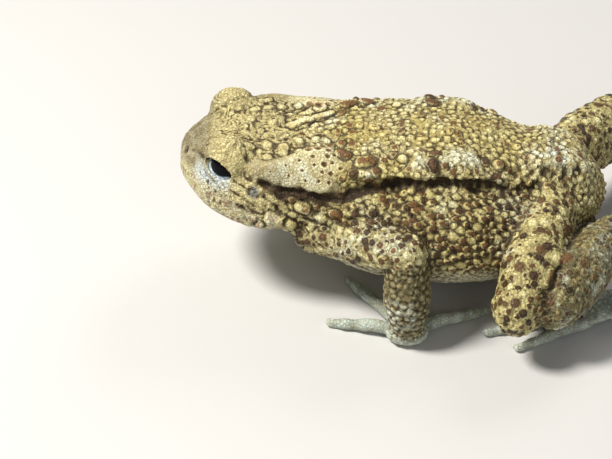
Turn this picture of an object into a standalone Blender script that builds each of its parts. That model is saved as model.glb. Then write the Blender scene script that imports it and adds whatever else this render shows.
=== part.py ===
"""A common toad, life size, standing on its four feet with its body clear of the floor.

The toad looks along -Y, its left side is +X and the floor is z = 0. Every size below is in
millimetres. Trunk and head are one loft that thin cuts part into head, lower jaw and torso.
Limbs are tapered tubes, and each piece is cut clear of the piece that it grows from.
"""

import math
import random

import bmesh
import bpy
import numpy as np
from mathutils import Matrix, Vector

MM = 0.001
GAP = 0.3  # clear space between neighbouring pieces
SLIVER = 0.002  # what a cut leaves thinner than this is closed up
BIG = 200.0  # longer than the toad, for cutters
SIDES = {"left": 1, "right": -1}
SHARP_ANGLE = math.radians(50)
CAP_ANGLES = (math.radians(36), math.radians(68))  # rings of a tube's round end
MOST_SHELL = 1.5  # limit on how far a sharp corner moves when a shape is grown

# Control rings of the loft, nose to vent: place along the body, height of the back, then the
# half width and height of the flat top's edge, of the fold under it, of the flank or cheek, of
# the widest line (on the head this is the upper lip) and of the underside, and the belly's height.
BODY_RINGS = (
    (-55.8, 34.6, (2.0, 34.2), (2.5, 33.4), (2.8, 32.4), (2.8, 31.4), (2.2, 30.0), 29.4),
    (-54.5, 36.6, (4.0, 36.0), (5.2, 34.8), (6.2, 33.0), (6.6, 30.6), (5.0, 29.0), 28.0),
    (-52.2, 38.6, (6.0, 37.8), (8.0, 35.8), (9.8, 33.0), (10.8, 29.8), (8.2, 27.4), 26.2),
    (-48.5, 40.6, (7.8, 39.8), (11.0, 37.0), (14.2, 33.4), (15.8, 28.6), (11.8, 25.4), 23.8),
    (-43.0, 42.0, (10.0, 41.2), (14.2, 38.6), (17.8, 34.2), (19.8, 27.4), (14.2, 23.8), 21.8),
    (-36.0, 42.4, (13.6, 41.0), (17.0, 38.2), (20.2, 33.2), (22.0, 26.2), (15.2, 21.8), 19.4),
    (-29.0, 42.0, (15.4, 39.4), (18.0, 36.2), (20.6, 31.4), (21.2, 25.4), (13.4, 19.6), 16.8),
    (-20.0, 41.6, (15.8, 38.6), (18.0, 35.4), (20.4, 30.6), (21.6, 23.8), (15.6, 15.2), 12.0),
    (-10.0, 42.0, (16.8, 39.6), (16.8, 35.8), (22.4, 31.0), (26.0, 21.6), (20.0, 11.6), 8.4),
    (4.0, 42.4, (17.0, 39.2), (16.4, 35.8), (25.2, 31.2), (30.0, 20.4), (22.8, 10.6), 6.4),
    (17.0, 42.6, (17.4, 39.8), (16.4, 35.8), (26.0, 31.0), (30.6, 20.0), (23.0, 10.2), 5.8),
    (30.0, 39.6, (13.6, 36.4), (14.8, 33.4), (22.8, 29.0), (27.0, 19.6), (20.6, 11.0), 7.8),
    (40.0, 38.0, (8.8, 35.4), (12.0, 32.6), (17.4, 28.6), (20.6, 21.0), (16.6, 14.2), 11.2),
    (48.0, 36.4, (7.0, 34.2), (9.6, 31.4), (12.8, 28.0), (14.0, 23.2), (11.6, 17.8), 15.8),
    (52.8, 30.8, (4.4, 29.4), (6.6, 28.0), (8.4, 26.2), (9.0, 24.0), (7.4, 20.8), 19.4),
    (55.6, 26.4, (2.2, 25.9), (2.7, 25.4), (2.9, 24.8), (2.8, 24.2), (2.2, 23.6), 23.2),
)
RINGS_BETWEEN = 2  # loft steps from one control ring to the next
POINTS_BETWEEN = 4  # loft points from one control point to the next, round the body

# Head. The mouth line runs back at the upper lip, as place along the body and height.
MOUTH_LINE = (
    (-70.0, 29.6),
    (-56.0, 29.0),
    (-49.0, 27.6),
    (-42.0, 26.0),
    (-35.0, 24.2),
    (-10.0, 21.0),
)
MOUTH_STEPS = 24
NECK_CUT = -26.4
EYE = (11.5, -42.2, 38.2)
EYE_RADIUS = 4.9
LID = (11.2, -42.3, 38.6)
LID_RADII = (6.5, 6.7, 6.2)
GAZE_FORWARD = math.radians(32)
GAZE_UP = math.radians(6)
OPENING_TILT = math.radians(24)
OPENING_RADII = (3.4, 4.2, 2.5)  # depth, half length and half height
NOSTRIL = (4.6, -53.6, 35.9)
NOSTRIL_RADII = (0.8, 1.2, 0.8)
EAR = (19.3, -35.4, 34.6)
EAR_NORMAL = (0.88, 0.0, 0.48)
EAR_RADIUS = 1.8
EAR_DEPTH = 1.1
EAR_RISE = 0.4
EAR_SIDES = 10
LIP_BULBS = (  # pale glands behind the corner of the mouth: place and radius
    ((20.9, -33.0, 26.9), 2.3),
    ((20.8, -28.6, 26.3), 1.8),
)
# The shoulder gland runs back from the eye: place, half width and half thickness.
GLAND = (
    (15.8, -36.2, 39.2, 2.0, 1.3),
    (16.2, -31.6, 38.9, 3.0, 1.8),
    (15.4, -26.0, 38.2, 4.8, 2.2),
    (14.2, -20.0, 38.2, 6.6, 2.6),
    (14.4, -15.0, 37.8, 5.4, 2.2),
)
GLAND_NORMAL = (0.55, 0.0, 0.84)

# Limbs as joint places and radii, with the points round each tube and the step along it.
LIMB_SIDES = 12
ARM_STEP = 3.4
LEG_STEP = 3.8
TARSUS_SIDES = 10
DIGIT_SIDES = 8
DIGIT_STEP = 4.6
SHOULDER = {"left": (18.6, -20.4, 21.4), "right": (-18.6, -20.4, 21.4)}
ELBOW = {"left": (32.4, 3.2, 25.8), "right": (-33.0, -3.0, 20.0)}
WRIST = {"left": (35.6, 4.0, 7.0), "right": (-37.0, -14.0, 7.0)}
PALM = {"left": (34.2, 4.0, 2.4), "right": (-35.6, -14.6, 2.4)}
UPPER_ARM_RADII = (5.6, 4.9, 5.0, 5.4)
FOREARM_RADII = (5.0, 5.6, 5.6, 4.6)
PALM_RADII = (5.0, 5.8, 2.8)
# How far each finger's tip lies from the palm, across the body and along it.
FINGERS = {
    "left": {
        "fourth": (-4.0, -19.6),
        "third": (-21.2, -15.0),
        "second": (-19.6, 3.0),
        "first": (-10.2, 20.6),
    },
    "right": {
        "fourth": (5.0, -19.0),
        "third": (20.0, -16.0),
        "second": (20.0, 1.5),
        "first": (12.0, 17.0),
    },
}
FINGER_START = 5.4  # from the middle of the palm
FINGER_RADII = (1.8, 1.8, 1.5, 1.5, 1.2)
FINGER_HEIGHTS = (2.4, 2.6, 1.9, 1.3, 1.1)

HIP = {"left": (11.0, 40.8, 26.0), "right": (-11.0, 44.0, 25.5)}
KNEE = {"left": (41.6, 30.8, 15.6), "right": (-42.0, 68.0, 19.0)}
KNEE_BACK = {"left": (38.6, 40.4, 15.6), "right": (-41.0, 73.0, 18.0)}
HEEL = {"left": (14.0, 56.6, 20.6), "right": (-17.0, 101.0, 12.0)}
ANKLE = {"left": (20.5, 67.0, 4.8), "right": (-31.0, 103.0, 4.8)}
FOOT_HEADING = {"left": math.radians(-74), "right": math.radians(203)}
THIGH_RADII = ((7.6, 8.4), (7.4, 9.2), (6.8, 8.8), (6.6, 7.2))  # across the leg's fold and along it
SHANK_RADII = ((6.2, 6.8), (6.8, 8.0), (6.2, 7.2), (4.6, 5.0))
TARSUS_RADII = (4.2, 3.6, 3.2)
# The sole, from the ankle on: reach, half width and half thickness.
SOLE = ((0.0, 3.4, 2.6), (7.0, 4.6, 2.4), (14.0, 6.8, 1.9), (19.0, 8.6, 1.5))
WEB_START = 2.0
# Toes: turn from the fourth toe, positive outward, in degrees, and reach of the tip from the ankle.
TOES = {
    "first": (-34, 26.0),
    "second": (-23, 32.5),
    "third": (-11, 36.0),
    "fourth": (0, 44.0),
    "fifth": (11, 39.0),
}
TOE_START = 18.6  # from the ankle
TOE_RADII = (1.6, 1.6, 1.3, 1.3, 1.1)
TOE_HEIGHTS = (1.6, 2.0, 1.5, 1.2, 1.0)
WEB_REACH = 0.45  # share of a free toe's length that the web joins
WEB_FLOOR = 0.4
WEB_THICKNESS = 0.9

# Warts are small raised facets, drawn with a fixed seed. A share of the faces carries one.
WART_SEED = 11
WART_SHARE = 0.16
WART_RIM = 0.5
WART_RIM_SHARE = 0.24  # of the shortest side of a face, the most that the rim takes
WART_HEIGHT = 0.8
LIMB_WART_HEIGHT = 0.6
WART_SIZES = (0.6, 1.25)  # times the height
WART_LOWEST = 22.0
CROWN_LOWEST = 31.0
WART_RANGE = (-38.0, 52.0)  # along the body

COLOURS = {  # colour and roughness
    "skin_back": ((0.48, 0.42, 0.20), 0.62),
    "skin_limb": ((0.42, 0.40, 0.24), 0.60),
    "skin_belly": ((0.55, 0.53, 0.36), 0.58),
    "gland": ((0.55, 0.49, 0.27), 0.55),
    "digit": ((0.36, 0.38, 0.29), 0.50),
    "ear": ((0.24, 0.22, 0.15), 0.50),
    "eye": ((0.012, 0.012, 0.014), 0.08),
}


def material(slot):
    """The material of one colour, made on first use."""
    found = bpy.data.materials.get(slot)
    if found:
        return found
    colour, roughness = COLOURS[slot]
    made = bpy.data.materials.new(slot)
    made.use_nodes = True
    shader = made.node_tree.nodes["Principled BSDF"]
    shader.inputs["Base Color"].default_value = (*colour, 1.0)
    shader.inputs["Roughness"].default_value = roughness
    shader.inputs["Metallic"].default_value = 0.0
    made.diffuse_color = (*colour, 1.0)
    return made


def solid(name, points, faces, slot="skin_back"):
    """A mesh object from points in millimetres, with its faces turned outward."""
    mesh = bpy.data.meshes.new(name)
    mesh.from_pydata([tuple(float(c) * MM for c in point) for point in points], [], faces)
    shape = bmesh.new()
    shape.from_mesh(mesh)
    bmesh.ops.recalc_face_normals(shape, faces=shape.faces)
    shape.to_mesh(mesh)
    shape.free()
    mesh.materials.append(material(slot))
    made = bpy.data.objects.new(name, mesh)
    bpy.context.scene.collection.objects.link(made)
    return made


def through(points, share):
    """A point of the smooth curve through evenly numbered points, with share from 0 to 1."""
    points = np.asarray(points, float)
    place = share * (len(points) - 1)
    first = min(int(place), len(points) - 2)
    t = place - first
    before, a, b, after = (points[min(max(first + k, 0), len(points) - 1)] for k in (-1, 0, 1, 2))
    slope_a, slope_b = (b - before) / 2, (after - a) / 2
    return (
        (2 * t**3 - 3 * t**2 + 1) * a
        + (t**3 - 2 * t**2 + t) * slope_a
        + (3 * t**2 - 2 * t**3) * b
        + (t**3 - t**2) * slope_b
    )


def closed_curve(points, steps):
    """The smooth closed curve through the points, with this many steps for each."""
    count = len(points)
    made = []
    for i in range(count):
        near = [points[(i + k) % count] for k in (-1, 0, 1, 2)]
        made.extend(through(near, (1 + k / steps) / 3) for k in range(steps))
    return made


def skin_over(rings):
    """Points and faces of a closed shape over rings of equal count, with a fan over each end."""
    count = len(rings[0])
    points = [tuple(point) for ring in rings for point in ring]
    faces = []
    for i in range(len(rings) - 1):
        for j in range(count):
            k = (j + 1) % count
            faces.append((i * count + j, i * count + k, (i + 1) * count + k, (i + 1) * count + j))
    for ring, start in ((rings[0], 0), (rings[-1], (len(rings) - 1) * count)):
        points.append(tuple(np.mean(ring, axis=0)))
        faces.extend((start + j, start + (j + 1) % count, len(points) - 1) for j in range(count))
    return points, faces


def body_ring(sizes):
    """One ring of the loft, from a row of BODY_RINGS laid out as plain numbers."""
    along, top, bottom = sizes[0], sizes[1], sizes[-1]
    side = [(sizes[k], sizes[k + 1]) for k in range(2, len(sizes) - 1, 2)]
    outline = [(0.0, top), *side, (0.0, bottom), *((-x, z) for x, z in reversed(side))]
    return [(x, along, z) for x, z in closed_curve(outline, POINTS_BETWEEN)]


def body_loft():
    rows = [[row[0], row[1], *(c for pair in row[2:-1] for c in pair), row[-1]] for row in BODY_RINGS]
    steps = RINGS_BETWEEN * (len(rows) - 1)
    return solid("body", *skin_over([body_ring(through(rows, k / steps)) for k in range(steps + 1)]))


def oval(node, ahead, normal, sides):
    """Points round a tube's node, which is a place, a half width and a half thickness."""
    across = np.cross(ahead, normal)
    across /= np.linalg.norm(across)
    up = np.cross(across, ahead)
    angles = [2 * math.pi * (j + 0.5) / sides for j in range(sides)]
    return [node[:3] + across * node[3] * math.cos(a) + up * node[4] * math.sin(a) for a in angles]


def tube(name, nodes, sides, step, slot="skin_limb", normal=(0.0, 0.0, 1.0), grow=0.0):
    """A tapered tube with round ends through nodes of place, half width and half thickness."""
    nodes = np.asarray(nodes, float)
    nodes[:, 3:] += grow
    length = float(np.linalg.norm(np.diff(nodes[:, :3], axis=0), axis=1).sum())
    count = max(4, round(length / step))
    line = [through(nodes, k / count) for k in range(count + 1)]
    directions = [line[min(k + 1, count)][:3] - line[max(k - 1, 0)][:3] for k in range(count + 1)]
    directions = [d / np.linalg.norm(d) for d in directions]
    rings = [oval(node, ahead, normal, sides) for node, ahead in zip(line, directions)]
    for end, sign in ((0, -1), (count, 1)):
        node, ahead = line[end], directions[end]
        for angle in CAP_ANGLES:
            cap = node.copy()
            cap[:3] += sign * ahead * min(node[3], node[4]) * math.sin(angle)
            cap[3:] *= math.cos(angle)
            ring = oval(cap, ahead, normal, sides)
            rings = [*rings, ring] if sign > 0 else [ring, *rings]
    return solid(name, *skin_over(rings), slot)


def limb(name, places, radii, sides, step, normal=(0.0, 0.0, 1.0)):
    """A tube whose radii, one number or a pair, are spread evenly along the joint places."""
    count = len(radii) - 1
    pairs = [r if isinstance(r, tuple) else (r, r) for r in radii]
    nodes = [(*through(places, k / count), *pairs[k]) for k in range(count + 1)]
    return tube(name, nodes, sides, step, normal=normal)


def ball(name, centre, radii, slot="skin_back", segments=16, rings=10, turn=None):
    """An ellipsoid, turned by a rotation matrix if one is given."""
    shape = bmesh.new()
    bmesh.ops.create_uvsphere(shape, u_segments=segments, v_segments=rings, radius=1.0)
    points = [Vector([v.co[k] * radii[k] for k in range(3)]) for v in shape.verts]
    if turn is not None:
        points = [turn @ point for point in points]
    faces = [[v.index for v in face.verts] for face in shape.faces]
    shape.free()
    return solid(name, [point + Vector(centre) for point in points], faces, slot)


def on_floor(shape):
    """Presses what lies under the floor up to it, which leaves a small flat to rest on."""
    for vertex in shape.data.vertices:
        vertex.co.z = max(vertex.co.z, 0.0)
    return shape


def extruded(name, outline):
    """A slab right across the body whose outline is given along the body and in height."""
    return solid(name, *skin_over([[(x, y, z) for y, z in outline] for x in (-BIG, BIG)]))


def copy_of(shape, name, slot=None):
    made = bpy.data.objects.new(name, shape.data.copy())
    bpy.context.scene.collection.objects.link(made)
    if slot:
        made.data.materials.clear()
        made.data.materials.append(material(slot))
    return made


def grown(shape, amount=GAP):
    """A copy of a shape with its skin moved outward, to cut neighbours clear of it."""
    made = copy_of(shape, shape.name + "_grown")
    mesh = bmesh.new()
    mesh.from_mesh(made.data)
    mesh.normal_update()
    for vertex in mesh.verts:
        shell = min(max(vertex.calc_shell_factor(), 1.0), MOST_SHELL)
        vertex.co += vertex.normal * amount * shell * MM
    mesh.to_mesh(made.data)
    mesh.free()
    return made


def remove(*objects):
    for obj in objects:
        bpy.data.objects.remove(obj)


def largest(shape):
    """Keeps the largest closed surface of a shape, counting faces as joined where they share an edge."""
    mesh = bmesh.new()
    mesh.from_mesh(shape.data)
    bmesh.ops.remove_doubles(mesh, verts=mesh.verts, dist=SLIVER * MM)
    bmesh.ops.dissolve_degenerate(mesh, edges=mesh.edges, dist=SLIVER * MM)
    left, groups = set(mesh.faces), []
    while left:
        found, waiting = set(), [left.pop()]
        while waiting:
            face = waiting.pop()
            found.add(face)
            near = {other for edge in face.edges for other in edge.link_faces} & left
            left -= near
            waiting.extend(near)
        groups.append(found)
    groups.sort(key=len)
    bmesh.ops.delete(mesh, geom=[face for group in groups[:-1] for face in group], context="FACES")
    mesh.to_mesh(shape.data)
    mesh.free()
    return shape


def combine(shape, others, operation):
    """Joins the others to a shape, or cuts them from it, as one applied Boolean."""
    tools = bpy.data.collections.new("tools")
    for other in others:
        tools.objects.link(other)
    modifier = shape.modifiers.new("boolean", "BOOLEAN")
    modifier.operation = operation
    modifier.operand_type = "COLLECTION"
    modifier.collection = tools
    modifier.solver = "EXACT"
    bpy.context.view_layer.update()
    seen = shape.evaluated_get(bpy.context.evaluated_depsgraph_get())
    slots = list(shape.data.materials)
    mesh = bpy.data.meshes.new_from_object(seen)
    shape.modifiers.clear()
    shape.data = mesh
    mesh.materials.clear()
    mesh.materials.append(slots[0])
    remove(*others)
    bpy.data.collections.remove(tools)
    return largest(shape)


def join(shape, others):
    return combine(shape, list(others), "UNION")


def cut(shape, others):
    return combine(shape, list(others), "DIFFERENCE")


def clear_of(shape, *neighbours):
    """Cuts a shape clear of its neighbours by the gap."""
    return cut(shape, [grown(other) for other in neighbours])


def raise_warts(shape, share, allowed, seed, height=WART_HEIGHT):
    """Raises a spaced share of a shape's four-sided faces, where allowed says so, into warts."""
    draw = random.Random(seed)
    mesh = bmesh.new()
    mesh.from_mesh(shape.data)
    mesh.normal_update()
    faces = [f for f in mesh.faces if len(f.verts) == 4 and allowed(f.calc_center_median() / MM, f)]
    draw.shuffle(faces)
    taken, chosen = set(), []
    for face in faces:
        near = {v.index for v in face.verts}
        if near & taken or len(chosen) >= share * len(faces):
            continue
        taken |= near
        chosen.append(face)
    for face in chosen:
        shortest = min(edge.calc_length() for edge in face.edges)
        rim = min(WART_RIM * MM, WART_RIM_SHARE * shortest)
        rise = height * draw.uniform(*WART_SIZES) * MM
        bmesh.ops.inset_individual(mesh, faces=[face], thickness=rim, depth=rise)
    mesh.to_mesh(shape.data)
    mesh.free()
    return shape


def on_side(place, side):
    """A place of the left side, or its mirror image."""
    return (place[0] * SIDES[side], place[1], place[2])


def gaze_turn(side):
    """Turns +X to the eye's gaze, with the opening's long axis along the turned Y."""
    forward = Matrix.Rotation(-GAZE_FORWARD, 3, "Z")
    up = Matrix.Rotation(-GAZE_UP, 3, "Y")
    tilt = Matrix.Rotation(-OPENING_TILT, 3, "X")
    return Matrix.Diagonal((SIDES[side], 1, 1)) @ forward @ up @ tilt


def neck_half(body, name, sign):
    """The half of the body ahead of the neck cut (sign -1) or behind it (sign 1), closed by a flat face."""
    made = copy_of(body, name)
    mesh = bmesh.new()
    mesh.from_mesh(made.data)
    bmesh.ops.bisect_plane(
        mesh,
        geom=[*mesh.verts, *mesh.edges, *mesh.faces],
        plane_co=(0.0, (NECK_CUT + sign * GAP / 2) * MM, 0.0),
        plane_no=(0.0, -sign, 0.0),
        clear_outer=True,
    )
    bmesh.ops.holes_fill(mesh, edges=[edge for edge in mesh.edges if edge.is_boundary])
    mesh.to_mesh(made.data)
    mesh.free()
    return made


def on_trunk(centre, face):
    """Says where the trunk carries warts: on back and flanks, and on the crown behind the eyes."""
    in_range = WART_RANGE[0] < centre.y < WART_RANGE[1]
    lowest = WART_LOWEST if centre.y > NECK_CUT else CROWN_LOWEST
    crosses_neck = any(abs(v.co.y / MM - NECK_CUT) < 1.0 for v in face.verts)
    return in_range and centre.z > lowest and not crosses_neck


def on_limb(centre, face):
    """Says where a limb carries warts: above and on its sides."""
    return face.normal.z > -0.2


def make_trunk():
    """Head, lower jaw and torso, parted by the neck cut and the mouth line."""
    body = raise_warts(body_loft(), WART_SHARE, on_trunk, WART_SEED)
    torso = neck_half(body, "torso", 1)
    head = neck_half(body, "head", -1)
    jaw = copy_of(head, "lower_jaw", "skin_belly")
    line = [through(MOUTH_LINE, k / MOUTH_STEPS) for k in range(MOUTH_STEPS + 1)]
    above = [(y, z + GAP / 2) for y, z in line] + [(line[-1][0], BIG), (line[0][0], BIG)]
    below = [(y, z - GAP / 2) for y, z in line] + [(line[-1][0], -BIG), (line[0][0], -BIG)]
    combine(head, [extruded("above", above)], "INTERSECT")
    combine(jaw, [extruded("below", below)], "INTERSECT")
    remove(body)
    return head, jaw, torso


def make_eye(side, grow=0.0):
    return ball("eye_" + side, on_side(EYE, side), (EYE_RADIUS + grow,) * 3, "eye", 12, 9)


def make_ear(side, grow=0.0):
    """The eardrum, a small disc set in the side of the head."""
    normal = Vector(on_side(EAR_NORMAL, side)).normalized()
    centre = Vector(on_side(EAR, side))
    rings = []
    for depth, width in ((-EAR_DEPTH - grow, 0.9), (0.0, 1.0), (EAR_RISE + grow, 0.6)):
        radius = (EAR_RADIUS + grow) * width
        node = np.array((*(centre + normal * depth), radius, radius))
        rings.append(oval(node, np.array(normal), (0.0, 1.0, 0.0), EAR_SIDES))
    return solid("tympanum_" + side, *skin_over(rings), "ear")


def make_gland(side, grow=0.0):
    """The long gland behind the eye, narrow in front and broad over the shoulder."""
    nodes = [(*on_side(node[:3], side), *node[3:]) for node in GLAND]
    return tube("parotoid_" + side, nodes, 12, 3.4, "gland", on_side(GLAND_NORMAL, side), grow)


def finish_head(head):
    """Adds lids and lip glands, and cuts nostrils and the seats of eyes, ears and shoulder glands."""
    added, holes = [], []
    for side in SIDES:
        added.append(ball("lid", on_side(LID, side), LID_RADII, segments=14, rings=9))
        for place, radius in LIP_BULBS:
            added.append(ball("bulb", on_side(place, side), (radius,) * 3, segments=8, rings=6))
        turn = gaze_turn(side)
        out = Vector(on_side(EYE, side)) + turn @ Vector((EYE_RADIUS, 0.0, 0.0))
        holes.append(ball("opening", out, OPENING_RADII, segments=12, rings=8, turn=turn))
        holes.append(ball("nostril", on_side(NOSTRIL, side), NOSTRIL_RADII, segments=8, rings=6))
    join(head, added)
    for side in SIDES:
        holes += [make_eye(side, GAP), make_ear(side, GAP), make_gland(side, GAP)]
    return cut(head, holes)


def digit(name, path, radii, heights, grow=0.0):
    """A finger or toe that lies on the floor along a path of two places in plan."""
    start, tip = path
    nodes = []
    for k, (radius, height) in enumerate(zip(radii, heights)):
        share = k / (len(radii) - 1)
        nodes.append((*(a + (b - a) * share for a, b in zip(start, tip)), height, radius, radius))
    made = tube(name, nodes, DIGIT_SIDES, DIGIT_STEP, "digit", grow=grow)
    return made if grow else on_floor(made)


def finger_paths(side):
    """Where each finger starts and ends, in plan."""
    x, y = PALM[side][:2]
    paths = {}
    for name, (across, along) in FINGERS[side].items():
        share = FINGER_START / math.hypot(across, along)
        start = (x + across * share, y + along * share)
        paths[f"finger_{name}_{side}"] = (start, (x + across, y + along))
    return paths


def make_arm(side, head, jaw, torso):
    """Upper arm, forearm, hand and four fingers."""
    places = (SHOULDER[side], ELBOW[side])
    upper = limb("upper_arm_" + side, places, UPPER_ARM_RADII, LIMB_SIDES, ARM_STEP)
    raise_warts(upper, WART_SHARE, on_limb, WART_SEED + 2, LIMB_WART_HEIGHT)
    clear_of(upper, torso, head, jaw)
    places = (ELBOW[side], WRIST[side])
    fore = limb("forearm_" + side, places, FOREARM_RADII, LIMB_SIDES, ARM_STEP, (0.0, 1.0, 0.0))
    clear_of(fore, upper, torso)
    hand = on_floor(ball("hand_" + side, PALM[side], PALM_RADII, "digit", 14, 8))
    paths = finger_paths(side)
    cutters = [digit("cutter", path, FINGER_RADII, FINGER_HEIGHTS, GAP) for path in paths.values()]
    cut(hand, [grown(fore), *cutters])
    fingers = [digit(name, path, FINGER_RADII, FINGER_HEIGHTS) for name, path in paths.items()]
    return [upper, fore, hand, *fingers]


def foot_place(side, turn, reach):
    """A place in plan, this far from the ankle and turned from the fourth toe."""
    angle = FOOT_HEADING[side] + math.radians(turn) * SIDES[side]
    return ANKLE[side][0] + reach * math.cos(angle), ANKLE[side][1] + reach * math.sin(angle)


def make_foot(side, tarsus):
    """The webbed sole with five toes, clear of the tarsus that stands on it."""
    middle = TOES["third"][0]
    nodes = [(*foot_place(side, middle, reach), thick, wide, thick) for reach, wide, thick in SOLE]
    foot = on_floor(tube("foot_" + side, nodes, LIMB_SIDES, LEG_STEP, "digit"))
    outline = [foot_place(side, middle, WEB_START)]
    for turn, tip in TOES.values():
        outline.append(foot_place(side, turn, TOE_START + (tip - TOE_START) * WEB_REACH))
    rings = [[(x, y, z) for x, y in outline] for z in (WEB_FLOOR, WEB_FLOOR + WEB_THICKNESS)]
    join(foot, [solid("web", *skin_over(rings))])
    paths = {
        f"toe_{name}_{side}": (foot_place(side, turn, TOE_START), foot_place(side, turn, tip))
        for name, (turn, tip) in TOES.items()
    }
    cutters = [digit("cutter", path, TOE_RADII, TOE_HEIGHTS, GAP) for path in paths.values()]
    cut(foot, [grown(tarsus), *cutters])
    return [foot, *(digit(name, path, TOE_RADII, TOE_HEIGHTS) for name, path in paths.items())]


def make_leg(side, torso):
    """Thigh, shank, tarsus, webbed foot and five toes."""
    thigh = limb("thigh_" + side, (HIP[side], KNEE[side]), THIGH_RADII, LIMB_SIDES, LEG_STEP)
    raise_warts(thigh, WART_SHARE, on_limb, WART_SEED + 6, LIMB_WART_HEIGHT)
    clear_of(thigh, torso)
    places = (KNEE_BACK[side], HEEL[side])
    shank = limb("shank_" + side, places, SHANK_RADII, LIMB_SIDES, LEG_STEP)
    raise_warts(shank, WART_SHARE, on_limb, WART_SEED + 5, LIMB_WART_HEIGHT)
    clear_of(shank, thigh, torso)
    places = (HEEL[side], ANKLE[side])
    tarsus = limb("tarsus_" + side, places, TARSUS_RADII, TARSUS_SIDES, LEG_STEP, (0.0, 1.0, 0.0))
    clear_of(tarsus, shank, thigh, torso)
    return [thigh, shank, tarsus, *make_foot(side, tarsus)]


def set_origin(nodes):
    """Moves everything so that the origin lies on the floor under the middle of the whole toad."""
    corners = np.array([v.co for node in nodes for v in node.data.vertices])
    middle = (corners.min(axis=0) + corners.max(axis=0)) / 2
    shift = Matrix.Translation((-middle[0], -middle[1], -corners[:, 2].min()))
    for node in nodes:
        node.data.transform(shift)


def main():
    for obj in list(bpy.data.objects):
        bpy.data.objects.remove(obj)
    head, jaw, torso = make_trunk()
    cut(torso, [make_gland(side, GAP) for side in SIDES])
    nodes = [finish_head(head), jaw, torso]
    for side in SIDES:
        nodes += [make_eye(side), make_ear(side), make_gland(side)]
        nodes += [*make_arm(side, head, jaw, torso), *make_leg(side, torso)]
    for node in nodes:
        node.data.name = node.name
        node.data.shade_smooth()
        node.data.set_sharp_from_angle(angle=SHARP_ANGLE)
    set_origin(nodes)


main()
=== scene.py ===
import math
import random

import bpy
import numpy as np
from mathutils import Matrix, Vector, kdtree, noise
from mathutils.bvhtree import BVHTree


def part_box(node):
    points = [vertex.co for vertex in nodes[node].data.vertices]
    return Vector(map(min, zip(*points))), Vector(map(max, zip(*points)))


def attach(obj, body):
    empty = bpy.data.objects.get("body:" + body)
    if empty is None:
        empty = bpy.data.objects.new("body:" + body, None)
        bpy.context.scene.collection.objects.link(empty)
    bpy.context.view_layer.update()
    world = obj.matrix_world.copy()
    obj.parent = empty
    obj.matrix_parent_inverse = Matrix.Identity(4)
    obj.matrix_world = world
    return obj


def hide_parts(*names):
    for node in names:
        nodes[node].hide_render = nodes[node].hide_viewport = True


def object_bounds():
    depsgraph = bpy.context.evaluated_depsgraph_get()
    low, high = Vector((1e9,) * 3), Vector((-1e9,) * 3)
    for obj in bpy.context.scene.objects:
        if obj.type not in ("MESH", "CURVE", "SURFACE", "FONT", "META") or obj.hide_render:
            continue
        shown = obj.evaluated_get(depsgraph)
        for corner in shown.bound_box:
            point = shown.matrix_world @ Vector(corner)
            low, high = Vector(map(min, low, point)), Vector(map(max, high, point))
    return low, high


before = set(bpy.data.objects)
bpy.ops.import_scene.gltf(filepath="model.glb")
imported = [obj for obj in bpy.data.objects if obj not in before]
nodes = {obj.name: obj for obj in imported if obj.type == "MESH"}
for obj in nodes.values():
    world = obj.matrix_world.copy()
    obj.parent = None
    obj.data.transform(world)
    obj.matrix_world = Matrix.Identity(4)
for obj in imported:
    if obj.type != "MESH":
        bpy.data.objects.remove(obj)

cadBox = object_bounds()

# Places below are in millimetres from a mark on the floor under the neck: the toad looks
# along -Y, its left is +X. The frame's place for the left eye says where that mark is.
eyePlace = (11.5, -42.2, 38.2)  # middle of the left eye
eyeLow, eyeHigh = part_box("eye_left")
eyeMiddle = (np.array(eyeLow) + np.array(eyeHigh)) * 500
markShift = np.array([eyeMiddle[0] - eyePlace[0], eyeMiddle[1] - eyePlace[1], 0.0])


def pickOnly(*things):
    if bpy.context.mode != "OBJECT":
        bpy.ops.object.mode_set(mode="OBJECT")
    bpy.ops.object.select_all(action="DESELECT")
    for thing in things:
        thing.select_set(True)
    bpy.context.view_layer.objects.active = things[-1]


def readAll(items, key, wide, kind=np.float32):
    flat = np.empty(len(items) * wide, kind)
    items.foreach_get(key, flat)
    return flat.reshape(-1, wide)


def meshPoints(mesh):
    return readAll(mesh.vertices, "co", 3).astype(float)


def meshNormals(mesh):
    return readAll(mesh.vertex_normals, "vector", 3).astype(float)


def meshEdges(mesh):
    return readAll(mesh.edges, "vertices", 2, np.int32)


def setPoints(mesh, points):
    mesh.vertices.foreach_set("co", np.asarray(points, np.float32).ravel())
    mesh.update()


def toMark(points):
    return points * 1000 - markShift


def fromMark(points):
    return (np.asarray(points, float) + markShift) / 1000


def treeOf(points):
    tree = kdtree.KDTree(len(points))
    for k, point in enumerate(points):
        tree.insert(Vector(point), k)
    tree.balance()
    return tree


def smoothStep(low, high, value):
    t = np.clip((value - low) / (high - low), 0, 1)
    return t * t * (3 - 2 * t)


def bell(distance, width):
    return np.exp(-((distance / width) ** 2))


def mirrored(place, s):
    return np.array(place) * (s, 1, 1)


# The skin: all flesh as one surface.
skinLook = {
    "voxel": 0.42,  # mm, the remesh grid
    "swell": 0.22,  # mm, closes the gaps between the parts before they fuse
    "takenBack": 0.8,  # share of the swell that comes off again
    "rounds": 40,  # of smoothing
    "blend": 14,  # rounds that soften the edge between two parts
    "aroundEye": (5.6, 7.6),  # mm from the eye's middle, where smoothing sets in
    "softness": {"torso": 1.0, "head": 0.35, "lower_jaw": 0.45, "parotoid": 0.3, "tympanum": 0.2,
                 "upper_arm": 0.4, "forearm": 0.4, "hand": 0.12, "finger": 0.07, "thigh": 0.6,
                 "shank": 0.5, "tarsus": 0.25, "foot": 0.07, "toe": 0.06},
    "triangles": 193000,  # after thinning
    "seed": 7,
}


def kindOf(name):
    for kind in skinLook["softness"]:
        if name.startswith(kind):
            return kind
    return ""


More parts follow.
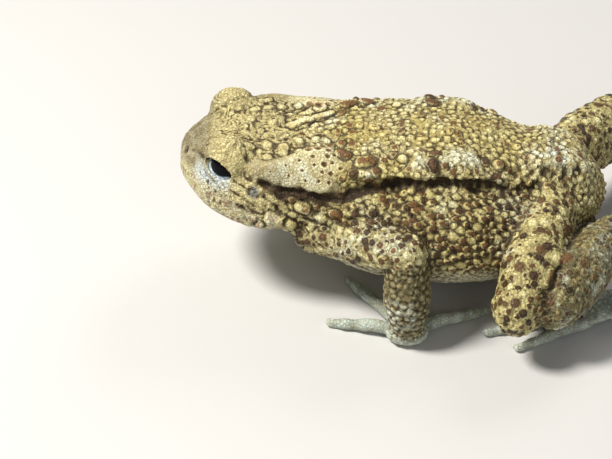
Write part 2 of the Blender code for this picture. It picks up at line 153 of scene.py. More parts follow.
def fuseFlesh():
    parts = []
    for name, node in nodes.items():
        if not kindOf(name):
            continue
        part = bpy.data.objects.new("fleshPart", node.data.copy())
        bpy.context.scene.collection.objects.link(part)
        pickOnly(part)
        bpy.ops.object.mode_set(mode="EDIT")
        bpy.ops.mesh.select_all(action="SELECT")
        bpy.ops.mesh.remove_doubles(threshold=1e-6)
        bpy.ops.object.mode_set(mode="OBJECT")
        points = meshPoints(part.data) + meshNormals(part.data) * skinLook["swell"] / 1000
        setPoints(part.data, points)
        parts.append(part)
    pickOnly(*parts)
    bpy.ops.object.join()
    fused = bpy.context.object
    fused.name = "toad_skin"
    remesh = fused.modifiers.new("fuse", "REMESH")
    remesh.mode = "VOXEL"
    remesh.voxel_size = skinLook["voxel"] / 1000
    bpy.ops.object.modifier_apply(modifier="fuse")
    return fused


def keepLargest(piece):
    edges = meshEdges(piece.data)
    label = np.arange(len(piece.data.vertices))
    while True:
        low = np.minimum(label[edges[:, 0]], label[edges[:, 1]])
        before = label.copy()
        np.minimum.at(label, edges[:, 0], low)
        np.minimum.at(label, edges[:, 1], low)
        label = label[label]
        if (label == before).all():
            break
    names, counts = np.unique(label, return_counts=True)
    scrap = label != names[counts.argmax()]
    print("scraps dropped:", len(names) - 1, "points", int(scrap.sum()))
    if not scrap.any():
        return
    pickOnly(piece)
    bpy.ops.object.mode_set(mode="EDIT")
    bpy.ops.mesh.select_all(action="DESELECT")
    bpy.ops.object.mode_set(mode="OBJECT")
    piece.data.vertices.foreach_set("select", scrap)
    bpy.ops.object.mode_set(mode="EDIT")
    bpy.ops.mesh.delete(type="VERT")
    bpy.ops.object.mode_set(mode="OBJECT")


class Surface:
    # the skin's points and edges as arrays, in millimetres from the mark
    def __init__(self, piece):
        self.piece = piece
        self.points = toMark(meshPoints(piece.data))
        self.edges = meshEdges(piece.data)
        self.count = len(self.points)
        self.degree = np.bincount(self.edges.ravel(), minlength=self.count).clip(1)

    def blurred(self, values, rounds, weight=1.0, pull=0.8):
        values = np.array(values, float)
        flat = values.reshape(self.count, -1)
        a, b = self.edges[:, 0], self.edges[:, 1]
        weight = np.broadcast_to(weight, (self.count,))
        for _ in range(rounds):
            for k in range(flat.shape[1]):
                column = flat[:, k]
                total = np.bincount(a, column[b], self.count) + np.bincount(b, column[a], self.count)
                flat[:, k] = column + (total / self.degree - column) * pull * weight
        return flat.reshape(values.shape)

    def place(self):
        setPoints(self.piece.data, fromMark(self.points))

    def normals(self):
        self.place()
        return meshNormals(self.piece.data)


def labelPoints(points):
    # the kind and side of the CAD node that lies nearest each point
    corners, polygons, owner = [], [], []
    names = [name for name in nodes if kindOf(name)]
    start = 0
    for k, name in enumerate(names):
        mesh = nodes[name].data
        local = toMark(meshPoints(mesh))
        corners.extend(map(tuple, local))
        for polygon in mesh.polygons:
            polygons.append([start + v for v in polygon.vertices])
            owner.append(k)
        start += len(local)
    tree = BVHTree.FromPolygons(corners, polygons)
    owner = np.array(owner)
    found = [tree.find_nearest(Vector(point))[2] for point in points]
    return names, owner[found]


print("fusing the flesh")
skin = fuseFlesh()
keepLargest(skin)
surface = Surface(skin)
print("skin points", surface.count)
names, owner = labelPoints(surface.points)
kinds = np.array([kindOf(name) for name in names])[owner]

# soft masks of the body's parts
mask = {}
for kind in skinLook["softness"]:
    mask[kind] = surface.blurred((kinds == kind).astype(float), skinLook["blend"])
mask["head"] = np.clip(mask["head"] + mask["tympanum"], 0, 1)
mask["digit"] = np.clip(mask["finger"] + mask["toe"] + mask["hand"] + mask["foot"], 0, 1)

softness = np.zeros(surface.count)
for kind, amount in skinLook["softness"].items():
    softness += mask[kind] * amount
softness = np.clip(softness, 0.05, 1)
eyeCentre = {s: mirrored(eyePlace, s) for s in (1, -1)}
for centre in eyeCentre.values():
    away = np.linalg.norm(surface.points - centre, axis=1)
    softness *= 0.15 + 0.85 * smoothStep(*skinLook["aroundEye"], away)
surface.points = surface.blurred(surface.points, skinLook["rounds"], softness)
surface.points -= surface.normals() * skinLook["swell"] * skinLook["takenBack"]
print("skin smoothed")

# The relief of the skin.
base = surface.points.copy()
normal = surface.normals()
x, y, z = base.T
side = np.where(x >= 0, 1.0, -1.0)
out = np.abs(x)
rise = np.zeros(surface.count)
crease = np.zeros(surface.count)  # painted shade in folds, lines, wrinkles, cracks, pits and holes, and the dark pigment of a few glands
pale = np.zeros(surface.count)  # white patches
dice = random.Random(skinLook["seed"])

# where the body's regions begin and end: Y along the body, Z up
stretches = {
    "headY": (-28.5, -31),
    "snoutY": (-44, -50),
    "snoutZ": (33, 36),
    "crownY": (-48, -43),
    "crownZ": (36, 38.5),
    "cheekY": (-52, -46),
    "cheekZ": (36.5, 34.5),
    "glandFrontY": (-24, -32),
    "bandFrontY": (-36.5, -32.5),
    "bandRearY": (28, 20),
    "neckY": (-6, -13),
    "neckShadeY": (2, -10),
    "foldFrontY": (-30, -22),
    "foldRearY": (18, 0),
    "foldTopZ": (35, 31),
    "foldLowZ": (10, 16),
    "rumpY": (32, 38),
    "bellyZ": (24, 16),
    "lowFlankZ": (22, 16),
    "paleThighZ": (17, 7),
    "floorZ": (1.2, 0.4),
}


def fade(name):
    # rises from 0 to 1 over a stretch
    return smoothStep(*stretches[name], y if name.endswith("Y") else z)


def roughly(scale, seed):
    # smooth noise from -1 to 1, read at every point
    shifted = base / scale + seed * 17.3
    return np.array([noise.noise(Vector(p)) for p in shifted]) * 1.6


print("reading noise")
wander = roughly(9.0, 1)
ripple = roughly(2.6, 2)
grit = roughly(1.05, 5)
under = (mask["torso"] + mask["lower_jaw"]).clip(0, 1)
belly = smoothStep(0.15, -0.45, normal[:, 2]) * fade("bellyZ") * under
trunk = (mask["torso"] + mask["head"] + mask["parotoid"]).clip(0, 1)
limb = (mask["upper_arm"] + mask["forearm"] + mask["thigh"] + mask["shank"] + mask["tarsus"]).clip(0, 1)

snap = treeOf(base)


def onSkin(place):
    return np.array(snap.find(Vector(place))[0])


# Marks that the photo shows are given below as pixels of it, picked and in part moved to fit the
# render. Each lands where the line of sight through the pixel meets the skin.
viewLook = {
    "azimuth": math.radians(92),
    "elevation": math.radians(38),
    "distance": 475,
    "target": (0, -23, 7.9),
    "mmPerPixel": 0.27,  # at the target
    "pixels": (612, 459),
    "sensor": 36,  # mm
}
viewBack = Vector((
    math.sin(viewLook["azimuth"]) * math.cos(viewLook["elevation"]),
    -math.cos(viewLook["azimuth"]) * math.cos(viewLook["elevation"]),
    math.sin(viewLook["elevation"]),
))
viewRight = Vector((math.cos(viewLook["azimuth"]), math.sin(viewLook["azimuth"]), 0))
viewUp = viewBack.cross(viewRight)
viewFrom = Vector(viewLook["target"]) + viewBack * viewLook["distance"]
sight = BVHTree.FromPolygons(base.tolist(), [list(p.vertices) for p in skin.data.polygons])


def seenAt(pixel):
    wide, high = viewLook["pixels"]
    aside = (pixel[0] - wide / 2) * viewLook["mmPerPixel"]
    above = (high / 2 - pixel[1]) * viewLook["mmPerPixel"]
    line = viewRight * aside + viewUp * above - viewBack * viewLook["distance"]
    return np.array(sight.ray_cast(viewFrom, line.normalized())[0])


def awayFrom(centre):
    return np.linalg.norm(base - centre, axis=1)


def fromSegment(points, a, b):
    ahead = b - a
    t = np.clip(((points - a) @ ahead) / max(ahead @ ahead, 1e-9), 0, 1)
    return np.linalg.norm(points - a - t[:, None] * ahead, axis=1)


def fromLine(places, most=9.0):
    # each point's distance from a line that follows the skin, up to a limit
    track = []
    for a, b in zip(places, places[1:]):
        a, b = np.array(a, float), np.array(b, float)
        parts = max(1, round(np.linalg.norm(b - a) / 1.2))
        track += [onSkin(a + (b - a) * k / parts) for k in range(parts)]
    track.append(onSkin(places[-1]))
    inside = ((base > np.min(track, axis=0) - most) & (base < np.max(track, axis=0) + most)).all(axis=1)
    away = np.full(surface.count, 99.0)
    away[inside] = np.min([fromSegment(base[inside], a, b) for a, b in zip(track, track[1:])], axis=0)
    return away


mirrorLook = {"clearOfMiddle": 5.9, "lowest": 26}  # mm


def bothSides(rows, lowest=0):
    # each row's places on the skin, and again for the other side, where they lie clear of the middle
    for pixels, *rest in rows:
        places = [seenAt(pixel) for pixel in pixels]
        yield 1, (places, *rest)
        inner = min(place[0] for place in places)
        if inner > mirrorLook["clearOfMiddle"] and places[0][2] >= lowest:
            yield -1, ([mirrored(place, -1) for place in places], *rest)


# swellings: ends in pixels, radius, height and paleness
swellings = (
    ([(422, 163), (470, 163)], 3.4, 1.3, 0.55),
    ([(410, 152), (420, 152)], 2.5, 0.5, 0.3),
    ([(546, 161), (574, 166)], 4.2, 1.9, 0.5),
    ([(553, 262), (568, 262)], 3.2, 1.5, -0.5),
    ([(545, 284), (549, 276)], 2.2, 0.9, -0.5),
    ([(300, 209), (327, 220)], 2.6, 0.8, 0.2),
)
for _, (ends, radius, height, white) in bothSides(swellings, mirrorLook["lowest"]):
    hump = bell(fromLine(ends), radius) ** 1.3
    rise += height * hump
    pale += max(white, 0) * hump
    crease += max(-white, 0) * hump

# muscles: each limb's length swells at its middle and narrows at its joints
muscleLook = {"thigh": 1.3, "shank": 1.0, "upper_arm": 0.5, "forearm": 0.6}  # mm
for name, node in nodes.items():
    swell = muscleLook.get(kindOf(name))
    if swell is None:
        continue
    shape = toMark(meshPoints(node.data))
    middle = shape.mean(axis=0)
    axis = np.linalg.svd(shape - middle, full_matrices=False)[2][0]
    reachOut = (shape - middle) @ axis
    t = np.clip(((base - middle) @ axis - reachOut.min()) / np.ptp(reachOut), 0, 1)
    own = surface.blurred((owner == names.index(name)).astype(float), 20)
    rise += own * swell * (np.sin(t * math.pi) ** 1.5 - 0.45)

# lines and folds: course in pixels, half width, depth, darkness (painted shade in the grooves, with the brown
# of the band under the gland)
lines = (
    ([(192, 150), (197, 151), (202, 155), (207, 160)], 0.5, 0.3, 0.32),
    ([(208, 144), (229, 136), (240, 140), (246, 149), (246, 163)], 0.5, 0.30, 0.3),
    ([(247, 179), (258, 183)], 0.45, 0.25, 0.5),
    ([(258, 183), (283, 189), (300, 192), (318, 198), (337, 201)], 0.9, 0.9, 1.0),
    ([(347, 197), (367, 191), (387, 186)], 1.4, 0.9, 0.7),
    ([(387, 185), (408, 183), (430, 183), (460, 183), (490, 185), (506, 189)], 1.8, 1.1, 1.1),
    ([(507, 187), (512, 176), (519, 169)], 0.9, 0.5, 0.35),
    ([(518, 191), (526, 178), (534, 170)], 0.9, 0.6, 0.4),
    ([(530, 192), (538, 180), (545, 172)], 0.9, 0.6, 0.4),
    ([(540, 172), (552, 174), (562, 174), (576, 171)], 1.5, 1.0, 0.6),
    ([(234, 182), (243, 187), (252, 190)], 0.4, 0.25, 0.6),
    ([(230, 190), (240, 196), (250, 204), (262, 209)], 0.4, 0.3, 0.6),
    ([(236, 204), (248, 211), (260, 215)], 0.4, 0.25, 0.6),
    ([(262, 196), (272, 203), (280, 212)], 0.45, 0.4, 0.7),
    ([(275, 193), (284, 200), (291, 209)], 0.5, 0.5, 0.8),
    ([(242, 137), (254, 140), (259, 141), (266, 138), (275, 137), (281, 140), (288, 139), (296, 135),
      (303, 134), (310, 139), (317, 135), (325, 135), (332, 142)], 0.4, 0.22, 0.8),
    ([(288, 129), (296, 130), (305, 128), (313, 122), (322, 120), (331, 117), (340, 112)], 0.45, 0.3, 0.85),
    ([(267, 103), (275, 105), (287, 112), (302, 113), (307, 108), (320, 104)], 0.45, 0.3, 0.8),
    ([(273, 121), (274, 114), (278, 108)], 0.4, 0.25, 0.6),
    ([(286, 115), (286, 121), (288, 128)], 0.4, 0.25, 0.7),
    ([(273, 157), (273, 149), (277, 147), (286, 148), (288, 155)], 0.35, 0.2, 0.6),
)
lineNoise = 0.35 * roughly(1.6, 9) + 0.3 * ripple
lineDepth = np.zeros(surface.count)
lineDark = np.zeros(surface.count)
for _, (places, width, depth, dark) in bothSides(lines):
    away = fromLine(places, 5.0) + lineNoise * (0.3 + width)
    away = np.maximum(away, 0)
    groove = bell(away, width)
    lineDepth = np.maximum(lineDepth, depth * groove)
    lineDark = np.maximum(lineDark, dark * groove)
rise -= lineDepth
# painted shade along the grooves of the lines
crease += lineDark

# mouth line, from the snout back along the upper lip
mouthLook = {
    "line": ((-57, 29.1), (-49, 27.6), (-42, 26.0), (-35, 24.2), (-29, 23.2)),  # y and z
    "depth": 0.6,
    "width": 0.42,
    "dark": 0.9,
    "lip": (1.2, 0.8, 0.25),  # the roll over the line: how far above it, half width and height
    "paleFrom": (0.6, 1.4),  # mm above the line, where the pale lip sets in
    "paleTo": (7.5, 4.5),  # and where it ends
}
mouthY, mouthZ = np.array(mouthLook["line"]).T
fromMouth = z - np.interp(y, mouthY, mouthZ)
onHead = (mask["head"] + mask["lower_jaw"]).clip(0, 1) * fade("headY")
mouth = bell(fromMouth, mouthLook["width"]) * onHead
rise -= mouthLook["depth"] * mouth
lipAbove, lipWide, lipHigh = mouthLook["lip"]
rise += lipHigh * bell(fromMouth - lipAbove, lipWide) * onHead
# painted shade in the groove of the mouth line
crease += mouthLook["dark"] * mouth

# nostrils
nostrilLook = {
    "place": (4.4, -53.6, 36.7),
    "radius": 0.8,
    "depth": 1.3,
    "dark": 2.2,
    "rim": (1.5, 0.5, 0.22),  # radius, half width and height
}
rimFar, rimWide, rimHigh = nostrilLook["rim"]
for s in (1, -1):
    away = awayFrom(mirrored(nostrilLook["place"], s))
    hole = bell(away, nostrilLook["radius"])
    rise -= nostrilLook["depth"] * hole
    rise += rimHigh * bell(away - rimFar, rimWide)
    # painted shade in the nostrils
    crease += nostrilLook["dark"] * hole

# lids: rings of fine wrinkles round a middle on top of each lid
lidLook = {
    "middle": (11.4, -43.8, 43.6),
    "stretch": (1, 0.72, 1.1),
    "rings": 1.3,  # mm from one to the next
    "height": 0.20,
    "dark": 0.65,
    "waver": (1.0, 0.55, 0.2),  # how far broad, middling and fine noise push the rings
    "outer": (6.4, 3.9),  # mm from the middle, where the rings fade out
    "inner": (0.2, 1.6),
}
for s in (1, -1):
    away = np.linalg.norm((base - mirrored(lidLook["middle"], s)) * lidLook["stretch"], axis=1)
    for amount, waves in zip(lidLook["waver"], (wander, ripple, grit)):
        away += amount * waves
    reach = smoothStep(*lidLook["outer"], away) * smoothStep(*lidLook["inner"], away)
    reach *= 0.55 + 0.45 * ripple
    wave = np.cos(away / lidLook["rings"] * 2 * math.pi)
    rise += lidLook["height"] * wave * reach
    # painted shade in the troughs between the rings
    crease += lidLook["dark"] * smoothStep(-0.3, -1.0, wave) * reach

# winding wrinkles over the crown, like the lines of a map, and fainter ones on the limbs
wrinkleLook = {"size": 6.5, "lines": 3.6, "height": 0.10, "dark": 0.42, "onLimbs": 0.6,
               "roundEye": (5.5, 7.5)}  # mm from its middle, where they set in
winding = np.cos((roughly(wrinkleLook["size"], 12) + 0.2 * ripple) * wrinkleLook["lines"] * 2 * math.pi)
crownTop = mask["head"] * fade("crownY") * fade("crownZ")
crown = crownTop.copy()
for centre in eyeCentre.values():
    crown *= smoothStep(*wrinkleLook["roundEye"], awayFrom(centre))
wrinkled = crown + wrinkleLook["onLimbs"] * (mask["thigh"] + mask["upper_arm"] + mask["shank"]).clip(0, 1)
rise += wrinkleLook["height"] * winding * wrinkled
# painted shade in the troughs of the wrinkles
crease += wrinkleLook["dark"] * smoothStep(-0.45, -1.0, winding) * wrinkled

# eardrums
earLook = {
    "middle": (19.3, -35.4, 34.6),
    "colour": (2.0, 1.2),  # mm from the middle, where it fades in
    "dip": (1.9, 1.2),
    "depth": 0.15,
    "rim": (2.2, 0.4, 0.25),  # radius, half width and height
}
rimFar, rimWide, rimHigh = earLook["rim"]
earMask = np.zeros(surface.count)
for s in (1, -1):
    away = awayFrom(mirrored(earLook["middle"], s))
    earMask += smoothStep(*earLook["colour"], away + 0.3 * ripple)
    rise += rimHigh * bell(away - rimFar, rimWide) - earLook["depth"] * smoothStep(*earLook["dip"], away)


# how the warts' places are drawn, and how far each wart strays from its kind
drawLook = {
    "tries": 90000,
    "cell": 3.0,  # mm to a cell of the search
    "gap": (0.78, 1.32),  # times the spacing
    "radius": (0.62, 1.3),
    "height": (0.6, 1.3),
    "tip": (0.75, 1.3),
    "tone": (-0.45, 0.35),
    "noTip": 0.35,  # share of the warts without a brown tip
    "noTipLess": 0.15,  # by which that share is less on the limbs
    "tipLess": 0.12,  # by which a tip is smaller there
}


def seedPlaces(spacing, density):
    # points of the skin kept a spacing apart, drawn in a fixed random order
    cell = drawLook["cell"]
    order = list(np.nonzero(density > 0)[0])
    dice.shuffle(order)
    cells, kept = {}, []
    for i in order[:drawLook["tries"]]:
        if dice.random() > density[i]:
            continue
        gap = spacing[i] * dice.uniform(*drawLook["gap"])
        p = base[i]
        key = tuple((p // cell).astype(int))
        near = (q for dx in (-1, 0, 1) for dy in (-1, 0, 1) for dz in (-1, 0, 1)
                for q in cells.get((key[0] + dx, key[1] + dy, key[2] + dz), ()))
        if all((p[0] - q[0]) ** 2 + (p[1] - q[1]) ** 2 + (p[2] - q[2]) ** 2 > gap * gap for q in near):
            cells.setdefault(key, []).append(p)
            kept.append(i)
    return np.array(kept)


# warts: spacing, radius and height in mm, brown tip's share and tone
wartLook = {
    "crown": (2.6, 1.05, 0.10, 0.00, 0.2),
    "back": (1.76, 0.92, 0.22, 0.12, 0.2),
    "flank": (1.8, 0.92, 0.58, 0.78, 0.8),
    "lowFlank": (1.5, 0.78, 0.42, 0.64, 0.7),
    "belly": (1.35, 0.68, 0.16, 0.00, 0.0),
    "upperArm": (1.8, 1.08, 0.26, 0.90, 1.0),
    "forearm": (1.45, 0.78, 0.32, 0.00, 0.2),
    "thigh": (2.12, 1.10, 0.33, 0.98, 0.9),
    "shank": (2.0, 1.00, 0.26, 0.78, 0.85),
    "tarsus": (1.9, 0.80, 0.18, 0.35, 0.6),
    "foot": (1.5, 0.55, 0.12, 0.00, 0.0),
}
# where no wart stands: mm round the eye, mm over the mouth up to a height, and shares of a mask
bareLook = {"roundEye": 7.4, "overMouth": 9, "lipTop": 36, "offBody": 0.12, "onEar": 0.1}
# the line from the eye back along the side, between back and flank
bandLine = np.array([(16.5, -37.0, 36.8), (18.0, -32.0, 35.8), (19.4, -27.0, 34.6), (19.6, -20.0, 33.6),
                     (18.6, -13.0, 33.6), (18.0, -6.0, 34.6), (18.0, 4.0, 35.2), (18.2, 14.0, 35.2),
                     (18.0, 24.0, 34.4)])
along = np.interp(y, bandLine[:, 1], bandLine[:, 2])
alongOut = np.interp(y, bandLine[:, 1], bandLine[:, 0])
snout = mask["head"] * fade("snoutY") * fade("snoutZ")
upperBack = mask["torso"] * smoothStep(-1.0, 1.0, z - along + 0.8 * ripple)
upperBack = np.maximum(upperBack, mask["torso"] * fade("rumpY") * smoothStep(0.1, 0.4, normal[:, 2]))
lowFlank = mask["torso"] * fade("lowFlankZ")
zone = {
    "crown": crownTop,
    "back": upperBack,
    "flank": (mask["torso"] - upperBack - lowFlank).clip(0, 1),
    "lowFlank": (lowFlank - belly).clip(0, 1),
    "belly": belly,
    "upperArm": mask["upper_arm"],
    "forearm": mask["forearm"],
    "thigh": mask["thigh"],
    "shank": mask["shank"],
    "tarsus": mask["tarsus"],
    "foot": 0.6 * mask["foot"] + 0.4 * mask["hand"],
}
share = np.array(list(zone.values()))
total = share.sum(axis=0).clip(1e-6)
looks = np.array(list(wartLook.values()))
look = (share[:, :, None] * looks[:, None, :]).sum(axis=0) / total[:, None]
density = np.clip(total * 1.2, 0, 1) * (1 - mask["finger"] - mask["toe"]).clip(0, 1)
density *= (1 - 1.3 * mask["parotoid"]).clip(0, 1)
density[total < bareLook["offBody"]] = 0
density[earMask > bareLook["onEar"]] = 0
density[(onHead > 0.5) & (fromMouth < bareLook["overMouth"]) & (z < bareLook["lipTop"])] = 0
for centre in eyeCentre.values():
    density[awayFrom(centre) < bareLook["roundEye"]] = 0

print("placing warts")
wartAt = seedPlaces(look[:, 0], density)
print("warts", len(wartAt))
wartPlace = base[wartAt]
wartRadius = look[wartAt, 1] * np.array([dice.uniform(*drawLook["radius"]) for _ in wartAt])
wartHeight = look[wartAt, 2] * np.array([dice.uniform(*drawLook["height"]) for _ in wartAt])


def tipSize(onLimb):
    size = dice.uniform(*drawLook["tip"]) * (1 - drawLook["tipLess"] * onLimb)
    return size * (dice.random() > drawLook["noTip"] - drawLook["noTipLess"] * onLimb)


wartTip = look[wartAt, 3] * np.array([tipSize(onLimb) for onLimb in limb[wartAt]])
wartTone = np.clip(look[wartAt, 4] + np.array([dice.uniform(*drawLook["tone"]) for _ in wartAt]), 0, 1)
# on the back a few warts are larger, with a brown cap
capLook = {"share": 0.10, "tip": 0.78, "tone": 0.35, "larger": 1.35}
capped = (np.array([dice.random() for _ in wartAt]) < capLook["share"]) & (zone["back"][wartAt] > 0.5)
wartTip[capped] = capLook["tip"]
wartTone[capped] = capLook["tone"]
wartRadius[capped] *= capLook["larger"]
wartHeight[capped] *= capLook["larger"]
# between the brown warts of the flank the skin is flatter
plain = (wartTip < 0.2) & (zone["flank"][wartAt] > 0.4)
wartHeight[plain] *= 0.5

tree = treeOf(wartPlace)
around = np.array([[k for _, k, _ in tree.find_n(Vector(p), 4)] for p in base])
nearest = around[:, 0]
reach = np.full(surface.count, 9.0)
second = np.full(surface.count, 9.0)
foldAlong = np.array([0.0, 0.95, -0.30])
for k in around.T:
    apart = base - wartPlace[k]
    # on the flank the warts are drawn out along the folds
    squared = (apart**2).sum(axis=1) - 0.5 * zone["flank"] * (apart @ foldAlong) ** 2
    q = np.sqrt(squared.clip(0)) / wartRadius[k]
    closer = q < reach
    second = np.where(closer, reach, np.minimum(second, q))
    nearest = np.where(closer, k, nearest)
    reach = np.where(closer, q, reach)
dome = np.clip(1 - (reach / 1.08) ** 2, 0, 1)
crackLook = {
    "depth": 0.10,
    "dark": 0.34,
    "darkerOn": {"flank": 0.5, "lowFlank": 0.3, "forearm": 0.4},
    "fainter": 0.7,  # on head and limbs
    "edge": (0.42, 0.06),  # how much nearer one wart is than the next, in radii
    "reach": (2.6, 1.6),  # radii from the nearest wart, where they fade out
}
cracks = smoothStep(*crackLook["edge"], second - reach + 0.12 * ripple)
cracks *= smoothStep(*crackLook["reach"], reach)
cracks *= density.clip(0, 1)
faint = crackLook["fainter"]
cracks *= (1 - faint * (limb - mask["forearm"]).clip(0, 1)) * (1 - faint * mask["head"])
rise -= crackLook["depth"] * cracks
crackDark = np.full(surface.count, crackLook["dark"])
for kind, amount in crackLook["darkerOn"].items():
    crackDark += amount * zone[kind]
# painted shade in the cracks between warts, darker on flank and forearm
crease += crackDark * cracks
tall = wartHeight[nearest]
tip = wartTip[nearest]
tone = wartTone[nearest]
offset = (base - wartPlace[nearest]) / wartRadius[nearest][:, None]

# warts given one by one: ends in pixels, radius, height, brown tip's share and tone
bigWarts = (
    ([(341, 144)], 1.3, 0.7, 0.8, 0.3),
    ([(339, 153), (348, 156)], 1.2, 0.9, 0.9, 0.4),
    ([(362, 162), (371, 160)], 1.6, 1.0, 0.7, 0.3),
    ([(352, 175)], 1.4, 0.9, 0.9, 0.8),
    ([(402, 158)], 1.5, 0.8, 0, 0),
    ([(433, 157), (436, 155)], 1.2, 0.8, 0.8, 0.6),
    ([(431, 165), (434, 170)], 1.3, 0.9, 0.9, 0.9),
    ([(444, 168)], 1.0, 0.7, 0.9, 0.4),
    ([(499, 165)], 1.8, 0.9, 0.6, 0.1),
    ([(485, 163)], 1.2, 0.6, 0.9, 0.8),
    ([(478, 158)], 1.0, 0.6, 0.9, 0.8),
    ([(517, 147)], 1.3, 0.5, 0.4, 0.3),
    ([(375, 172)], 1.2, 0.6, 0.8, 0.6),
    ([(250, 146)], 1.7, 0.4, 0, 0),
    ([(268, 144)], 1.5, 0.4, 0, 0),
    ([(283, 148), (283, 154)], 1.4, 0.45, 0, 0),
    ([(300, 141)], 1.4, 0.4, 0, 0),
    ([(299, 151)], 1.3, 0.35, 0, 0),
    ([(315, 139)], 1.3, 0.35, 0, 0),
    ([(327, 141)], 1.1, 0.3, 0, 0),
    ([(268, 157)], 1.3, 0.35, 0, 0),
    ([(292, 125), (308, 119)], 1.5, 0.7, 0, 0),
    ([(317, 117), (331, 113)], 1.25, 0.5, 0, 0),
    ([(303, 114), (310, 112)], 1.25, 0.5, 0, 0),
    ([(319, 108), (322, 107)], 1.3, 0.5, 0, 0),
    ([(255, 110)], 1.5, 0.4, 0, 0),
    ([(273, 123)], 1.5, 0.4, 0, 0),
    ([(251, 118)], 1.3, 0.35, 0, 0),
    ([(275, 114)], 1.4, 0.35, 0, 0),
    ([(262, 101), (268, 100)], 1.3, 0.4, 0, 0),
    ([(283, 107)], 1.3, 0.4, 0, 0),
    ([(260, 131)], 1.2, 0.35, 0, 0),
    ([(240, 108)], 1.3, 0.3, 0, 0),
    ([(420, 139), (425, 139)], 0.9, 0.3, 0.3, 0.1),
    ([(433, 140), (437, 140)], 0.9, 0.35, 0, 0),
    ([(459, 139)], 1.0, 0.5, 0.7, 0.1),
    ([(450, 131)], 1.1, 0.5, 0.7, 0.1),
    ([(372, 127), (376, 128)], 1.2, 0.4, 0.3, 0.1),
    ([(359, 125)], 1.2, 0.4, 0.3, 0.1),
    ([(390, 125)], 1.1, 0.4, 0.3, 0.1),
    ([(270, 220), (281, 221)], 2.1, 1.3, 0, 0),
    ([(290, 224)], 1.7, 1.4, 0, 0),
    ([(260, 225)], 1.1, 0.6, 0, 0),
    ([(254, 218)], 1.1, 0.5, 0, 0),
    ([(292, 200)], 1.1, 0.7, 0.9, 0.3),
    ([(300, 206), (306, 208)], 1.4, 0.7, 0, 0),
    ([(322, 217)], 1.5, 0.6, 0, 0),
    ([(312, 226)], 1.3, 0.6, 0, 0),
    ([(333, 213), (338, 215)], 1.2, 0.6, 0.9, 0.3),
    ([(553, 262), (568, 262)], 1.9, 0.5, 0.72, 0.4),
    ([(545, 284), (549, 276)], 1.6, 0.4, 0.72, 0.5),
    ([(407, 256)], 1.4, 0.5, 0, 0),
    ([(394, 251)], 1.1, 0.4, 0.6, 0.2),
    ([(420, 262)], 1.1, 0.4, 0, 0),
)
bigLook = {
    "shift": (-1.2, 1.2),  # mm along the body, on the right side
    "edge": (0.26, 0.12, 0.08),  # radii by which three kinds of noise push the edge
    "reach": 1.4,  # radii
    "power": {"brown": 2.0, "pale": 2.8},  # of the dome's curve
}
edgeNoise = sum(amount * waves for amount, waves in zip(bigLook["edge"], (ripple, lineNoise, grit)))
for s, (ends, radius, height, brown, dark) in bothSides(bigWarts, mirrorLook["lowest"]):
    ends = [onSkin((px, py + (dice.uniform(*bigLook["shift"]) if s < 0 else 0), pz)) for px, py, pz in ends]
    away = fromSegment(base, ends[0], ends[-1]) + radius * edgeNoise
    q = np.maximum(away, 0) / radius
    over = q < bigLook["reach"]
    reach[over] = q[over]
    tall[over], tip[over], tone[over] = height, brown, dark
    dome[over] = np.clip(1 - q[over] ** bigLook["power"]["brown" if brown else "pale"], 0, 1)
    crease[over] *= smoothStep(0.5, 1.3, q[over])
    offset[over] = (base[over] - (ends[0] + ends[-1]) / 2) / radius
tall = surface.blurred(tall, 1)
rise += tall * dome - 0.16 * bell(reach - 1.2, 0.22) * tall.clip(0, 0.6)
# painted light on warts: darkest behind and below as if shaded, lighter in front and above as if lit
shadedWay = np.stack([-0.5 * side, np.full(surface.count, 0.8), np.full(surface.count, -0.6)], axis=1)
crescent = (offset * shadedWay).sum(axis=1)

# creases between folds behind the arm and on the neck, running back and down
foldLook = {
    "spacing": 2.1,
    "height": 0.26,
    "dark": 0.6,
    "start": (-4, 26),  # y and z
    "lean": (0.30, 0.95),  # across the folds, in y and z
    "waver": (3.4, 1.5),  # radians, by broad and by finer noise
}
(startY, startZ), (leanY, leanZ) = foldLook["start"], foldLook["lean"]
across = (z - startZ) * leanZ + (y - startY) * leanY
broadWaver, fineWaver = foldLook["waver"]
phase = across / foldLook["spacing"] * 2 * math.pi + broadWaver * wander + fineWaver * ripple
folds = np.sin(phase)
foldZone = mask["torso"] * fade("foldFrontY") * fade("foldRearY") * fade("foldTopZ") * fade("foldLowZ")
rise += foldLook["height"] * folds * foldZone
# painted shade in the troughs of the folds
crease += foldLook["dark"] * smoothStep(-0.35, -1.0, folds) * foldZone

# granular rows round the forearm, folds round the tarsus and the wrist
rowLook = {
    "sizes": {"forearm": (1.9, 0.07), "tarsus": (1.8, 0.13)},  # spacing and height
    "waver": (2.6, 2.4),  # radians, by broad and by finer noise
    "dark": 0.35,
}
broadWaver, fineWaver = rowLook["waver"]
for kind, (spacing, height) in rowLook["sizes"].items():
    wave = np.sin(z / spacing * 2 * math.pi + broadWaver * wander + fineWaver * ripple)
    rise += height * wave * mask[kind]
    # painted shade in the troughs of the rows
    crease += rowLook["dark"] * smoothStep(-0.3, -1.0, wave) * mask[kind]

# net of fine wrinkles on cheek and snout
cheek = mask["head"] * fade("cheekZ") * fade("cheekY")
netLook = {"size": 1.5, "height": 0.16, "dark": 0.42, "darkFrom": (0.25, 0.6)}
net = roughly(netLook["size"], 4)
rise += netLook["height"] * (1 - np.abs(net) * 2.2).clip(-1, 1) * cheek
# painted shade in the fine wrinkles of the net
crease += netLook["dark"] * smoothStep(*netLook["darkFrom"], np.abs(net)) * cheek

# pores of the long gland behind the eye, most of them on its rear
glandLook = {"pitRadius": 0.78, "pitDepth": 0.42, "pitDark": 0.5, "pitRim": 0.12}
gland = mask["parotoid"]
